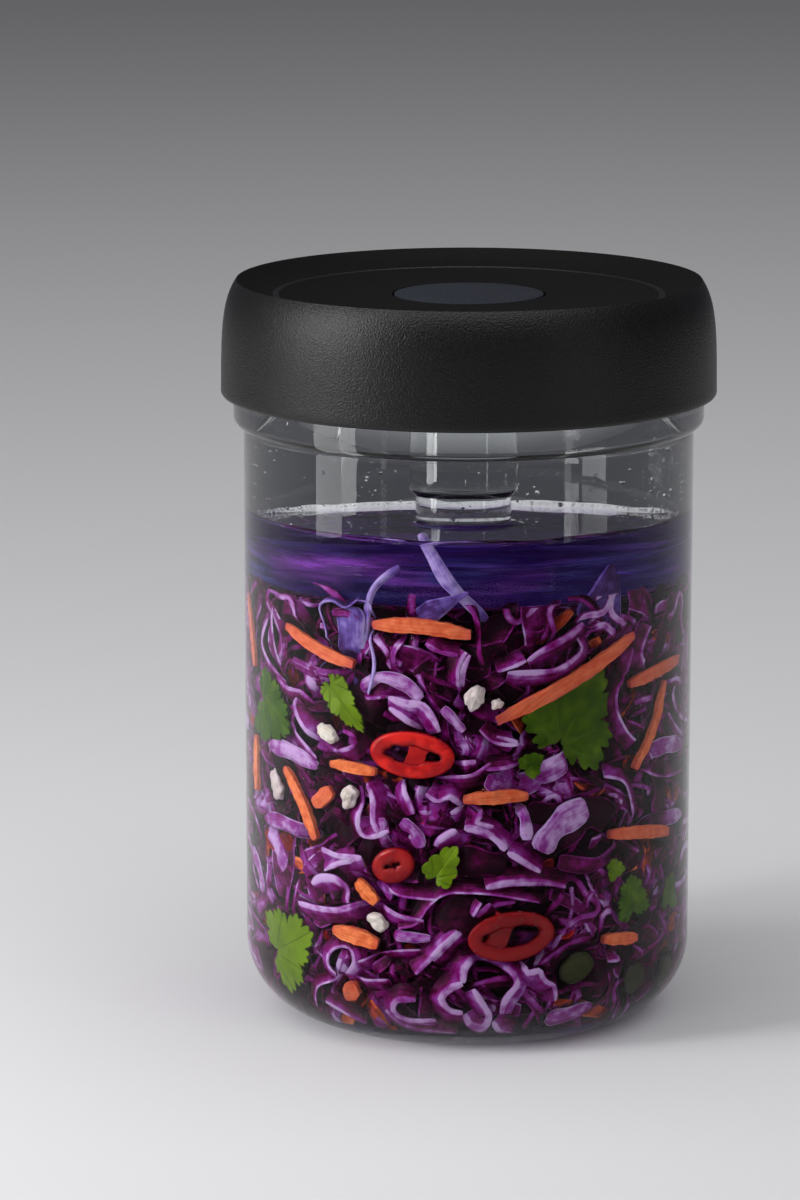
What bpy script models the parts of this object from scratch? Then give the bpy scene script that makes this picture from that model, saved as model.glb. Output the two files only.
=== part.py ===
"""Fermentation jar: a one-litre glass jar with a plain black cap, packed with red cabbage slaw.

Metres, +Z up. The origin is on the jar's axis at the face that it stands on. Azimuth is counted in
degrees round that axis, from the front at -Y towards +X.
"""

import math
import random
from collections import namedtuple

import bmesh
import bpy
from mathutils import Vector, noise

LOOSE_GAP = 0.0003

# Glass jar
JAR_RADIUS = 0.055
JAR_WALL = 0.003
JAR_FLOOR = 0.0055
JAR_CORNER = 0.0185
INNER_RADIUS = JAR_RADIUS - JAR_WALL
INNER_CORNER = 0.0145
BEAD_RADIUS = 0.0575
BEAD_BOTTOM = 0.1465
BEAD_TOP = 0.1575
NECK_RADIUS = 0.0546
NECK_INNER_RADIUS = 0.0508
RIM_HEIGHT = 0.1748
RIM_ROUND = 0.0012
CORNER_STEPS = 5
BEAD_STEPS = 2

# Cap, whose side swells out below the crest by an exponential ease
LID_TOP = 0.182
LID_BOTTOM = 0.154
LID_CREST_RADIUS = 0.0566
LID_RADIUS = 0.0605
LID_EASE = 0.0055
LID_FLOOR = 0.1783
LID_FLOOR_RADIUS = 0.0468
LID_WALL_INSIDE = 0.058
LID_UNDERSIDE = 0.1752
LID_SLOPE_POWER = 1.7
LID_EDGE_ROUND = 0.0014
VALVE_RADIUS = 0.0182
VALVE_GAP = 0.0005
VALVE_POCKET = 0.0016
VALVE_CROWN = 0.0002
VALVE_EDGE = 0.0003

# Glass weight that holds the slaw down
WEIGHT_CENTRE_X = -0.0012
WEIGHT_DISC_RADIUS = 0.046
WEIGHT_DISC_BOTTOM = 0.1106
WEIGHT_DISC_TOP = 0.1208
WEIGHT_NECK_RADIUS = 0.0116
WEIGHT_NECK_TOP = 0.1345
KNOB_RADIUS = 0.0131
KNOB_TOP = 0.160
KNOB_ROUND = 0.005
KNOB_STEP = 0.001
WEIGHT_RIM_ROUND = 0.0016
WEIGHT_COVE = 0.004
WEIGHT_COVE_LIFT = 0.0008

# Slaw: a core with the shreds that show fused on, and toppings in the gap between core and glass
GLASS_GAP = 0.0004
CORNER_GAP = 0.0003
FACE_GAP = 0.0002
LOWEST_PIECE = JAR_FLOOR + 0.0014
CORE_RADIUS = 0.0462
CORE_BOTTOM = JAR_FLOOR + 0.0004
CORE_TOP = 0.1098
CORE_SHOULDER = 0.007
CORE_TOP_ROUND = (0.004, 0.0015)
CORE_CORNER_SHARE = 0.6
CORE_FLAT = 0.001
CORE_BUMP = 0.0007
CORE_CELL = 0.011
CORE_SIDES = 32
SHRED_SIZES = ((0.024, 10, 600), (0.016, 14, 900), (0.010, 20, 1800))
SHRED_THICKNESS = 0.0010
SHRED_ROOT = 0.0453
SHRED_CREST = 0.0504
SHRED_STEPS = 6
SHRED_TAPER = 0.3
SHRED_WIDTHS = (0.0020, 0.0036)
SHRED_TILT = 75
SHRED_BOW = 0.1
SHRED_HUMP_POWER = 0.6
RISING_SHRED_GAP = 0.0006
RISING_SHRED_ROOT = 0.001
TOPPING_GAP = 0.0006
LEAF_CLEARANCE = 1.05
LUMP_CLEARANCE = 0.57
SHRED_LOWEST = 0.010
SHRED_HIGHEST = 0.1068
SEED = 11

TURN_STEPS = 48
SMALL_TURN_STEPS = 32
WELD = 0.00001

Strip = namedtuple("Strip", "azimuth height length width roll bow depth", defaults=(0.0022,))
Ring = namedtuple("Ring", "azimuth height long short roll")
Leaf = namedtuple("Leaf", "azimuth height size roll teeth depth", defaults=(0.0016,))
Lump = namedtuple("Lump", "azimuth height long short roll")

CARROT_STRIPS = (
    Strip(-12.6, 0.1052, 0.0245, 0.0040, -3, 0.0012),
    Strip(-79.5, 0.0972, 0.0185, 0.0030, -69, 0.0004),
    Strip(-44.0, 0.0990, 0.0235, 0.0034, -16, -0.0008),
    Strip(-75.0, 0.0646, 0.0142, 0.0036, 89, 0.0005),
    Strip(28.2, 0.0926, 0.0420, 0.0038, 25, -0.0004, depth=0.0013),
    Strip(61.0, 0.0903, 0.0240, 0.0036, 6, 0.0004),
    Strip(57.5, 0.0778, 0.0235, 0.0028, 57, -0.0018),
    Strip(7.6, 0.0648, 0.0160, 0.0036, 2, 0.0003),
    Strip(-32.2, 0.0703, 0.0132, 0.0030, -3, 0.0002),
    Strip(-51.2, 0.0589, 0.0200, 0.0034, -54, 0.0010),
    Strip(-42.2, 0.0618, 0.0076, 0.0042, 40, 0.0),
    Strip(54.5, 0.0510, 0.0250, 0.0036, -9, 0.0005),
    Strip(45.8, 0.0262, 0.0120, 0.0034, -8, 0.0),
    Strip(-28.0, 0.0402, 0.0075, 0.0036, -42, 0.0),
    Strip(-31.5, 0.0284, 0.0130, 0.0042, -8, 0.0004),
    Strip(-33.4, 0.0148, 0.0050, 0.0040, 20, 0.0),
    Strip(-121.0, 0.0900, 0.0230, 0.0036, 24, 0.0008),
    Strip(-148.0, 0.0610, 0.0200, 0.0038, -35, 0.0006),
    Strip(-172.0, 0.0930, 0.0250, 0.0038, 12, -0.0008),
    Strip(165.0, 0.0420, 0.0220, 0.0036, 40, 0.0006),
    Strip(131.0, 0.0750, 0.0240, 0.0034, -20, 0.0010),
    Strip(104.0, 0.0330, 0.0180, 0.0036, 62, 0.0006),
)
CARROT_THICKNESS = 0.0020
CARROT_STEPS = 5
CARROT_TAPER = 0.35

CHILI_RINGS = (
    Ring(-14.9, 0.0751, 0.0210, 0.0114, -3),
    Ring(11.9, 0.0306, 0.0214, 0.0122, 5),
    Ring(-20.0, 0.0476, 0.0110, 0.0086, 20),
    Ring(-104.0, 0.0420, 0.0190, 0.0120, 30),
    Ring(151.0, 0.0800, 0.0200, 0.0118, -25),
)
CHILI_DEPTH = 0.0034
CHILI_WALL = 0.0030
CHILI_SIDES = 18
CHILI_SECTION_SIDES = 5
CHILI_PITH = 0.0020
CHILI_PITH_ROLL = 76
CHILI_PITH_STEPS = 2
PARTED_CHILI = 0.018

LEAVES = (
    Leaf(29.8, 0.0826, 0.0128, 58, 30, depth=0.0033),
    Leaf(-64.8, 0.0800, 0.0092, -20, 22),
    Leaf(-35.6, 0.0866, 0.0080, -42, 18),
    Leaf(-56.5, 0.0222, 0.0105, 30, 22),
    Leaf(-6.6, 0.0478, 0.0055, 75, 18),
    Leaf(49.8, 0.0352, 0.0062, 100, 18),
    Leaf(68.6, 0.0330, 0.0050, 80, 16),
    Leaf(43.0, 0.0440, 0.0030, 0, 12),
    Leaf(17.0, 0.0727, 0.0034, 40, 12),
    Leaf(-133.0, 0.0330, 0.0100, 70, 20),
    Leaf(178.0, 0.0680, 0.0105, 130, 20),
    Leaf(112.0, 0.0930, 0.0095, 20, 20),
)
LEAF_THICKNESS = 0.0007
LEAF_WAVE = 0.0006
LEAF_RINGS = (0.0, 0.55, 1.0)
LEAF_INNER_OUTLINE = 0.8

PALE_CHUNKS = (
    Lump(-62.0, 0.0617, 0.0085, 0.0060, -50),
    Lump(-33.4, 0.0632, 0.0070, 0.0052, 70),
    Lump(-40.6, 0.0778, 0.0074, 0.0048, -20),
    Lump(1.8, 0.0893, 0.0070, 0.0056, 60),
    Lump(7.9, 0.0878, 0.0038, 0.0032, 0),
    Lump(-24.6, 0.0330, 0.0064, 0.0044, -25),
    Lump(-160.0, 0.0800, 0.0080, 0.0056, 15),
    Lump(125.0, 0.0520, 0.0075, 0.0055, 80),
)
GREEN_SLICES = (
    Lump(31.0, 0.0212, 0.0100, 0.0078, 20),
    Lump(52.6, 0.0155, 0.0090, 0.0070, -30),
    Lump(68.6, 0.0145, 0.0080, 0.0060, -50),
)
LUMP_DEPTH = 0.0036
LUMP_BUMP = 0.14
LUMP_BUMP_SCALE = 1.7

# Wide cabbage pieces that show through the glass, fused to the core, and strands that rise from it
CABBAGE_SLABS = (
    Strip(25.5, 0.0566, 0.0150, 0.0090, 35, 0.0010),
    Strip(26.5, 0.0695, 0.0220, 0.0056, 8, 0.0012),
    Strip(52.4, 0.0588, 0.0120, 0.0056, 25, 0.0006),
    Strip(-56.0, 0.0706, 0.0130, 0.0066, -25, 0.0008),
    Strip(-77.5, 0.0392, 0.0170, 0.0056, 82, 0.0006),
    Strip(0.0, 0.0160, 0.0190, 0.0070, 10, 0.0016),
    Strip(-22.0, 0.0900, 0.0200, 0.0066, -50, 0.0012),
)
RISING_SHREDS = (
    Strip(-2.0, 0.1150, 0.0300, 0.0032, 124, -0.0014),
    Strip(-24.5, 0.1095, 0.0250, 0.0022, 62, 0.0030),
    Strip(41.5, 0.1115, 0.0160, 0.0080, 86, 0.0006),
    Strip(-34.0, 0.1045, 0.0130, 0.0080, 80, 0.0006),
    Strip(58.0, 0.1060, 0.0180, 0.0034, 40, 0.0010),
    Strip(-68.0, 0.1050, 0.0160, 0.0030, 30, 0.0010),
    Strip(160.0, 0.1080, 0.0200, 0.0032, 35, 0.0010),
    Strip(-140.0, 0.1080, 0.0200, 0.0032, 145, 0.0010),
)


def arc(centre, size, start, end, steps):
    """Points of an arc in the turning plane, from start to end in degrees."""
    turn = [math.radians(start + (end - start) * k / steps) for k in range(steps + 1)]
    return [(centre[0] + size * math.cos(t), centre[1] + size * math.sin(t)) for t in turn]


def wall_radius(height):
    """Radius of the glass's inner face at a height, round its bottom corner too."""
    below = INNER_CORNER - (height - JAR_FLOOR)
    if below <= 0:
        return INNER_RADIUS
    return INNER_RADIUS - INNER_CORNER - CORNER_GAP + math.sqrt(INNER_CORNER**2 - below**2)


def material(name, colour, roughness, metallic=0.0, transmission=0.0):
    made = bpy.data.materials.new(name)
    made.use_nodes = True
    shader = made.node_tree.nodes["Principled BSDF"]
    shader.inputs["Base Color"].default_value = (*colour, 1.0)
    shader.inputs["Roughness"].default_value = roughness
    shader.inputs["Metallic"].default_value = metallic
    shader.inputs["Transmission Weight"].default_value = transmission
    return made


def add_object(name, mesh, made_of, collection):
    """An object of the mesh in the collection, shaded smooth between its sharp edges."""
    obj = bpy.data.objects.new(name, mesh)
    mesh.materials.append(made_of)
    mesh.shade_smooth()
    mesh.set_sharp_from_angle(angle=math.radians(35))
    collection.objects.link(obj)
    return obj


def turned(name, profile, steps, made_of, collection):
    """A body turned round Z from a profile that starts and ends on the axis, outer side downwards."""
    mesh = bpy.data.meshes.new(name)
    points = [(radius, 0.0, height) for radius, height in profile]
    mesh.from_pydata(points, [(k, k + 1) for k in range(len(points) - 1)], [])
    obj = add_object(name, mesh, made_of, collection)
    screw = obj.modifiers.new("Turn", "SCREW")
    screw.steps = screw.render_steps = steps
    screw.use_merge_vertices = True
    screw.merge_threshold = WELD
    screw.use_smooth_shade = True
    return obj


def jar_profile():
    corner = (JAR_RADIUS - JAR_CORNER, JAR_CORNER)
    inner_corner = (INNER_RADIUS - INNER_CORNER, JAR_FLOOR + INNER_CORNER)
    bead_round = BEAD_RADIUS - JAR_RADIUS
    rim_middle = (NECK_RADIUS + NECK_INNER_RADIUS) / 2
    return (
        [(0.0, JAR_FLOOR)]
        + arc(inner_corner, INNER_CORNER, -90, 0, CORNER_STEPS)
        + [(INNER_RADIUS, BEAD_BOTTOM), (NECK_INNER_RADIUS, BEAD_TOP)]
        + [(NECK_INNER_RADIUS, RIM_HEIGHT - RIM_ROUND), (rim_middle, RIM_HEIGHT)]
        + [(NECK_RADIUS, RIM_HEIGHT - RIM_ROUND), (NECK_RADIUS, BEAD_TOP + bead_round / 2)]
        + [(BEAD_RADIUS, BEAD_TOP - bead_round / 2)]
        + arc((JAR_RADIUS, BEAD_BOTTOM + bead_round), bead_round, 0, -90, BEAD_STEPS)
        + arc(corner, JAR_CORNER, 0, -90, CORNER_STEPS)
        + [(0.0, 0.0)]
    )


def lid_side(depth):
    """Radius of the cap's side at a depth below its crest."""
    return LID_RADIUS - (LID_RADIUS - LID_CREST_RADIUS) * math.exp(-depth / LID_EASE)


def lid_profile():
    pocket = VALVE_RADIUS + VALVE_GAP
    side_depths = (0.0, 0.0015, 0.004, 0.008, 0.014, LID_TOP - LID_BOTTOM - LID_EDGE_ROUND)
    rise = LID_TOP - LID_FLOOR
    slope_run = LID_CREST_RADIUS - LID_FLOOR_RADIUS
    slope = [
        (LID_FLOOR_RADIUS + slope_run * share, LID_FLOOR + rise * share**LID_SLOPE_POWER)
        for share in (0.0, 0.35, 0.7, 0.9)
    ]
    return (
        [(0.0, LID_FLOOR - VALVE_POCKET), (pocket, LID_FLOOR - VALVE_POCKET), (pocket, LID_FLOOR)]
        + slope
        + [(lid_side(depth), LID_TOP - depth) for depth in side_depths]
        + [(LID_RADIUS - LID_EDGE_ROUND, LID_BOTTOM), (LID_WALL_INSIDE, LID_BOTTOM)]
        + [(LID_WALL_INSIDE, LID_UNDERSIDE), (0.0, LID_UNDERSIDE)]
    )


def valve_profile():
    top = LID_FLOOR + VALVE_CROWN / 2
    bottom = LID_FLOOR - VALVE_POCKET + LOOSE_GAP
    return [
        (0.0, top + VALVE_CROWN),
        (VALVE_RADIUS * 0.6, top + VALVE_CROWN / 2),
        (VALVE_RADIUS - VALVE_EDGE, top),
        (VALVE_RADIUS, top - VALVE_EDGE),
        (VALVE_RADIUS, bottom),
        (0.0, bottom),
    ]


def weight_profile():
    knob_edge = (KNOB_RADIUS - KNOB_ROUND, KNOB_TOP - KNOB_ROUND)
    cove = (WEIGHT_NECK_RADIUS + WEIGHT_COVE, WEIGHT_DISC_TOP + WEIGHT_COVE_LIFT + WEIGHT_COVE)
    disc_edge = WEIGHT_DISC_RADIUS - WEIGHT_RIM_ROUND
    return (
        [(0.0, KNOB_TOP)]
        + arc(knob_edge, KNOB_ROUND, 80, 0, 3)
        + [(KNOB_RADIUS, WEIGHT_NECK_TOP + KNOB_STEP)]
        + [(WEIGHT_NECK_RADIUS, WEIGHT_NECK_TOP - KNOB_STEP / 2)]
        + arc(cove, WEIGHT_COVE, 180, 262, 3)
        + arc((disc_edge, WEIGHT_DISC_TOP - WEIGHT_RIM_ROUND), WEIGHT_RIM_ROUND, 90, 0, 2)
        + [(WEIGHT_DISC_RADIUS, WEIGHT_DISC_BOTTOM + WEIGHT_RIM_ROUND)]
        + [(disc_edge, WEIGHT_DISC_BOTTOM), (0.0, WEIGHT_DISC_BOTTOM)]
    )


def turned_mesh(profile, sides):
    """A bmesh of a profile spun a full turn round Z, for shapes whose points are moved afterwards."""
    bm = bmesh.new()
    points = [bm.verts.new((radius, 0.0, height)) for radius, height in profile]
    edges = [bm.edges.new(pair) for pair in zip(points, points[1:])]
    bmesh.ops.spin(
        bm, geom=points + edges, cent=(0, 0, 0), axis=(0, 0, 1), angle=math.tau,
        steps=sides, use_merge=True,
    )
    bmesh.ops.remove_doubles(bm, verts=bm.verts, dist=WELD)
    bmesh.ops.recalc_face_normals(bm, faces=bm.faces)
    return bm


def mesh_from(bm, name):
    mesh = bpy.data.meshes.new(name)
    bm.to_mesh(mesh)
    bm.free()
    return mesh


def place_on_wall(obj, azimuth, height):
    """Puts an object's origin on the jar's inner face, its own -Y pointing out through the glass."""
    turn = math.radians(azimuth)
    obj.rotation_euler.z = turn
    obj.location = (INNER_RADIUS * math.sin(turn), -INNER_RADIUS * math.cos(turn), height)


def bent(point, height):
    """A point drawn flat as (across, inwards, up), bent to follow the wall about its own height."""
    across, inwards, up = point
    world_height = max(height + up, LOWEST_PIECE)
    radius = wall_radius(world_height) - GLASS_GAP - inwards
    turn = across / INNER_RADIUS
    return Vector((radius * math.sin(turn), INNER_RADIUS - radius * math.cos(turn), world_height - height))


def rolled(across, up, roll):
    turn = math.radians(roll)
    return (
        across * math.cos(turn) - up * math.sin(turn),
        across * math.sin(turn) + up * math.cos(turn),
    )


def narrowed(share, taper):
    """Width of a strip at a share of its length, which falls by the taper at both ends."""
    return 1.0 - taper * abs(2 * share - 1) ** 3


def strip_object(name, strip, steps, thickness, inwards, width_at, made_of, collection):
    """A flat strip bent to the wall; inwards(share) is how far its middle lies from the glass."""
    bm = bmesh.new()
    bmesh.ops.create_grid(bm, x_segments=steps, y_segments=1, size=0.5)
    for vert in bm.verts:
        share = vert.co.x + 0.5
        along = vert.co.x * strip.length
        across = vert.co.y * strip.width * width_at(share) + strip.bow * math.sin(math.pi * share)
        flat = rolled(along, across, strip.roll)
        vert.co = bent((flat[0], inwards(share), flat[1]), strip.height)
    obj = add_object(name, mesh_from(bm, name), made_of, collection)
    place_on_wall(obj, strip.azimuth, strip.height)
    shell = obj.modifiers.new("Thickness", "SOLIDIFY")
    shell.thickness = thickness
    shell.offset = 0.0
    return obj


def carrot_strip(number, strip, made_of, collection):
    return strip_object(
        f"carrot_strip_{number:02d}", strip, CARROT_STEPS, CARROT_THICKNESS,
        lambda share: strip.depth, lambda share: narrowed(share, CARROT_TAPER), made_of, collection,
    )


def chili_ring(number, ring, made_of, collection, cutters):
    """An oval slice of chili with two seed holes, parted by a bridge of pith set back from the cut face."""
    name = f"chili_ring_{number}"
    bm = turned_mesh(arc((1.0, 0.0), 0.5, 0, 360, CHILI_SECTION_SIDES), CHILI_SIDES)
    middle = CHILI_DEPTH / 2 + FACE_GAP
    for vert in bm.verts:
        turn = math.atan2(vert.co.y, vert.co.x)
        outwards = (math.hypot(vert.co.x, vert.co.y) - 1.0) * CHILI_WALL
        reach = (ring.long / 2 - CHILI_WALL / 2 + outwards, ring.short / 2 - CHILI_WALL / 2 + outwards)
        flat = rolled(reach[0] * math.cos(turn), -reach[1] * math.sin(turn), ring.roll)
        inwards = middle + vert.co.z * CHILI_DEPTH
        vert.co = bent((flat[0], inwards, flat[1]), ring.height)
    obj = add_object(name, mesh_from(bm, name), made_of, collection)
    place_on_wall(obj, ring.azimuth, ring.height)
    if ring.long > PARTED_CHILI:
        bridge = Strip(
            ring.azimuth, ring.height, ring.short - CHILI_WALL, CHILI_PITH, ring.roll + CHILI_PITH_ROLL, 0.0
        )
        pith = strip_object(
            f"{name}_pith", bridge, CHILI_PITH_STEPS, CHILI_PITH, lambda share: middle,
            lambda share: 1.0, made_of, cutters,
        )
        pith.hide_render = True
        pith.display_type = "WIRE"
        union = obj.modifiers.new("Pith", "BOOLEAN")
        union.operation = "UNION"
        union.object = pith
    return obj


def leaf_reach(turn):
    """Outline of a lobed leaf, as a share of its size, by the angle from its tip."""
    lobes = 0.80 + 0.20 * math.cos(3 * turn)
    teeth = 0.07 * math.cos(11 * turn)
    stalk_notch = 0.30 * math.exp(-((math.pi - abs(turn)) / 0.35) ** 2)
    return lobes + teeth - stalk_notch


def cilantro_leaf(number, leaf, made_of, collection):
    """A thin wavy leaf, split into triangles before it gets its thickness, so both faces match."""
    name = f"cilantro_leaf_{number:02d}"
    bm = turned_mesh([(reach, 0.0) for reach in LEAF_RINGS], leaf.teeth)
    bmesh.ops.triangulate(bm, faces=bm.faces)
    for vert in bm.verts:
        turn = math.atan2(vert.co.y, vert.co.x)
        reach = math.hypot(vert.co.x, vert.co.y)
        outline = leaf_reach(turn) if round(reach, 3) == LEAF_RINGS[-1] else LEAF_INNER_OUTLINE
        size = leaf.size * reach * outline
        flat = rolled(size * math.cos(turn), size * math.sin(turn), leaf.roll)
        wave = LEAF_WAVE * reach * math.sin(3 * turn + leaf.azimuth)
        vert.co = bent((flat[0], leaf.depth + wave, flat[1]), leaf.height)
    obj = add_object(name, mesh_from(bm, name), made_of, collection)
    place_on_wall(obj, leaf.azimuth, leaf.height)
    shell = obj.modifiers.new("Thickness", "SOLIDIFY")
    shell.thickness = LEAF_THICKNESS
    shell.offset = 0.0
    return obj


def lump_object(name, lump, depth, made_of, collection):
    """A faceted cut piece, flatter towards the glass."""
    bm = bmesh.new()
    bmesh.ops.create_icosphere(bm, subdivisions=2, radius=1.0)
    for vert in bm.verts:
        place = vert.co * LUMP_BUMP_SCALE + Vector((lump.azimuth, lump.height * 100, 0))
        uneven = 1.0 + LUMP_BUMP * noise.noise(place)
        flat = rolled(
            vert.co.x * uneven * lump.long / 2, vert.co.z * uneven * lump.short / 2, lump.roll
        )
        inwards = depth / 2 + LOOSE_GAP + vert.co.y * depth / 2
        vert.co = bent((flat[0], inwards, flat[1]), lump.height)
    obj = add_object(name, mesh_from(bm, name), made_of, collection)
    place_on_wall(obj, lump.azimuth, lump.height)
    return obj


def points_along(strip):
    """(azimuth, height) of points along the strip's middle, from end to end."""
    points = []
    for step in range(2 * SHRED_STEPS + 1):
        share = step / (2 * SHRED_STEPS)
        across, up = rolled(
            (share - 0.5) * strip.length, strip.bow * math.sin(math.pi * share), strip.roll
        )
        points.append((strip.azimuth + math.degrees(across / INNER_RADIUS), strip.height + up))
    return points


def topping_spots():
    """(azimuth, height, clearance) of points along every topping, for keeping shreds off them."""
    spots = []
    for strip in CARROT_STRIPS:
        spots += [(*point, strip.width / 2) for point in points_along(strip)]
    spots += [(ring.azimuth, ring.height, ring.long / 2) for ring in CHILI_RINGS]
    spots += [(leaf.azimuth, leaf.height, leaf.size * LEAF_CLEARANCE) for leaf in LEAVES]
    lumps = PALE_CHUNKS + GREEN_SLICES
    spots += [(lump.azimuth, lump.height, lump.long * LUMP_CLEARANCE) for lump in lumps]
    return spots


def clear_of(spots, strip):
    """True if no point along the strip comes near a topping."""
    for azimuth, height in points_along(strip):
        for spot_azimuth, spot_height, clearance in spots:
            needed = clearance + strip.width / 2 + TOPPING_GAP
            turn = (azimuth - spot_azimuth + 180) % 360 - 180
            across = math.radians(turn) * INNER_RADIUS
            if abs(across) < needed and math.hypot(across, height - spot_height) < needed:
                return False
    return True


def scattered_shreds(spots):
    """Shreds spread evenly round the core, longest first, leaving out those that meet a topping."""
    draw = random.Random(SEED)
    even_turn, even_height = 0.7548777, 0.5698403
    found = []
    for length, count, tries in SHRED_SIZES:
        size_found = 0
        for step in range(tries):
            strip = Strip(
                azimuth=(step * even_turn % 1.0) * 360 - 180,
                height=SHRED_LOWEST + (step * even_height % 1.0) * (SHRED_HIGHEST - SHRED_LOWEST),
                length=length * draw.uniform(0.9, 1.1),
                width=draw.uniform(*SHRED_WIDTHS),
                roll=draw.uniform(-SHRED_TILT, SHRED_TILT),
                bow=draw.uniform(-SHRED_BOW, SHRED_BOW) * length,
            )
            heights = [point[1] for point in points_along(strip)]
            within = min(heights) > SHRED_LOWEST and max(heights) < SHRED_HIGHEST
            taken = [(*point, old.width / 2) for old in found for point in points_along(old)]
            if size_found < count and within and clear_of(spots + taken, strip):
                found.append(strip)
                size_found += 1
    return found


def hump(share):
    """Distance from the glass of a shred that rises out of the core and goes back in."""
    crest = INNER_RADIUS - GLASS_GAP - SHRED_CREST
    root = INNER_RADIUS - GLASS_GAP - SHRED_ROOT
    return root + (crest - root) * math.sin(math.pi * share) ** SHRED_HUMP_POWER


def rise(share):
    """Distance from the glass of a shred whose far end, the upper one, stands clear of the core."""
    crest = INNER_RADIUS - GLASS_GAP - SHRED_CREST + RISING_SHRED_GAP
    root = INNER_RADIUS - GLASS_GAP - SHRED_ROOT + RISING_SHRED_ROOT
    return crest + (root - crest) * (1 - share) ** 2


def core_mesh():
    """The packed slaw's body: a bumpy drum, pressed flat on top by the weight."""
    bottom_round = INNER_CORNER - (INNER_RADIUS - CORE_RADIUS) * CORE_CORNER_SHARE
    top_run, top_drop = CORE_TOP_ROUND
    profile = (
        [(0.0, CORE_TOP), (CORE_RADIUS * 0.55, CORE_TOP)]
        + [(CORE_RADIUS - top_run, CORE_TOP - top_drop), (CORE_RADIUS, CORE_TOP - CORE_SHOULDER)]
        + [(CORE_RADIUS, CORE_TOP * share) for share in (0.74, 0.56, 0.38)]
        + arc((CORE_RADIUS - bottom_round, CORE_BOTTOM + bottom_round), bottom_round, 0, -90, 3)
        + [(0.0, CORE_BOTTOM)]
    )
    bm = turned_mesh(profile, CORE_SIDES)
    for vert in bm.verts:
        bump = CORE_BUMP * noise.noise(vert.co / CORE_CELL)
        out = Vector((vert.co.x, vert.co.y, 0.0)).normalized()
        if CORE_BOTTOM + CORE_FLAT < vert.co.z < CORE_TOP - CORE_FLAT:
            vert.co += out * bump
    return mesh_from(bm, "cabbage_slaw")


def keep_largest_body(mesh):
    """Drops what the union left loose or sealed inside, keeping the body with the most faces."""
    bm = bmesh.new()
    bm.from_mesh(mesh)
    left = set(bm.verts)
    bodies = []
    while left:
        reached = {left.pop()}
        edge_of_search = list(reached)
        while edge_of_search:
            vert = edge_of_search.pop()
            for edge in vert.link_edges:
                other = edge.other_vert(vert)
                if other in left:
                    left.remove(other)
                    reached.add(other)
                    edge_of_search.append(other)
        bodies.append(reached)
    largest = max(bodies, key=len)
    loose = [vert for vert in bm.verts if vert not in largest]
    bmesh.ops.delete(bm, geom=loose, context="VERTS")
    bm.to_mesh(mesh)
    bm.free()


def cabbage_slaw(made_of, collection, shreds):
    """The heap: its core with the shreds and slabs that show joined on by one union."""
    heap = add_object("cabbage_slaw", core_mesh(), made_of, collection)
    spots = topping_spots()
    rows = [(strip, hump) for strip in scattered_shreds(spots)]
    rows += [(strip, hump) for strip in CABBAGE_SLABS if clear_of(spots, strip)]
    rows += [(strip, rise) for strip in RISING_SHREDS if clear_of(spots, strip)]
    for number, (strip, inwards) in enumerate(rows):
        strip_object(
            f"shred_{number:02d}", strip, SHRED_STEPS, SHRED_THICKNESS, inwards,
            lambda share: narrowed(share, SHRED_TAPER), made_of, shreds,
        )
    union = heap.modifiers.new("Fuse shreds", "BOOLEAN")
    union.operation = "UNION"
    union.operand_type = "COLLECTION"
    union.collection = shreds
    union.solver = "MANIFOLD"
    bpy.context.view_layer.update()
    graph = bpy.context.evaluated_depsgraph_get()
    fused = bpy.data.meshes.new_from_object(heap.evaluated_get(graph))
    heap.modifiers.clear()
    heap.data = fused
    keep_largest_body(fused)
    for obj in list(shreds.objects):
        bpy.data.objects.remove(obj)
    return heap


def main():
    for obj in list(bpy.data.objects):
        bpy.data.objects.remove(obj)
    jar = bpy.data.collections.new("fermentation_jar")
    cutters = bpy.data.collections.new("cutters")
    for collection in (jar, cutters):
        bpy.context.scene.collection.children.link(collection)

    glass = material("clear glass", (0.93, 0.96, 0.96), 0.02, transmission=1.0)
    black = material("satin black cap", (0.018, 0.018, 0.019), 0.38)
    slate = material("slate valve", (0.075, 0.085, 0.10), 0.5)
    cabbage = material("red cabbage", (0.30, 0.04, 0.28), 0.35)
    carrot = material("carrot", (0.80, 0.20, 0.04), 0.4)
    chili = material("red chili", (0.62, 0.012, 0.010), 0.25)
    green = material("cilantro", (0.10, 0.23, 0.02), 0.45)
    pale = material("pale vegetable", (0.66, 0.62, 0.50), 0.4)
    olive = material("olive green slice", (0.10, 0.13, 0.04), 0.4)

    turned("glass_jar", jar_profile(), TURN_STEPS, glass, jar)
    turned("lid", lid_profile(), TURN_STEPS, black, jar)
    turned("valve_disc", valve_profile(), SMALL_TURN_STEPS, slate, jar)
    weight = turned("glass_weight", weight_profile(), SMALL_TURN_STEPS, glass, jar)
    weight.location.x = WEIGHT_CENTRE_X
    cabbage_slaw(cabbage, jar, cutters)
    for number, strip in enumerate(CARROT_STRIPS, 1):
        carrot_strip(number, strip, carrot, jar)
    for number, ring in enumerate(CHILI_RINGS, 1):
        chili_ring(number, ring, chili, jar, cutters)
    for number, leaf in enumerate(LEAVES, 1):
        cilantro_leaf(number, leaf, green, jar)
    for number, lump in enumerate(PALE_CHUNKS, 1):
        lump_object(f"pale_chunk_{number}", lump, LUMP_DEPTH, pale, jar)
    for number, lump in enumerate(GREEN_SLICES, 1):
        lump_object(f"green_slice_{number}", lump, LUMP_DEPTH, olive, jar)


main()
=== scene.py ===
"""Looks of a one-litre fermentation jar: red cabbage slaw in violet brine under a black cap.

Metres, +Z up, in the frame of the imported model. Food that lies against the glass is laid out flat as
(across, inwards, up) and then bent to the jar's inner face.
"""

from __future__ import annotations

import logging
import math
import random
from collections.abc import Callable
from dataclasses import dataclass
from enum import Enum
from functools import partial

import bmesh
import bpy
import numpy as np
from mathutils import Matrix, Quaternion, Vector, noise

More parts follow.
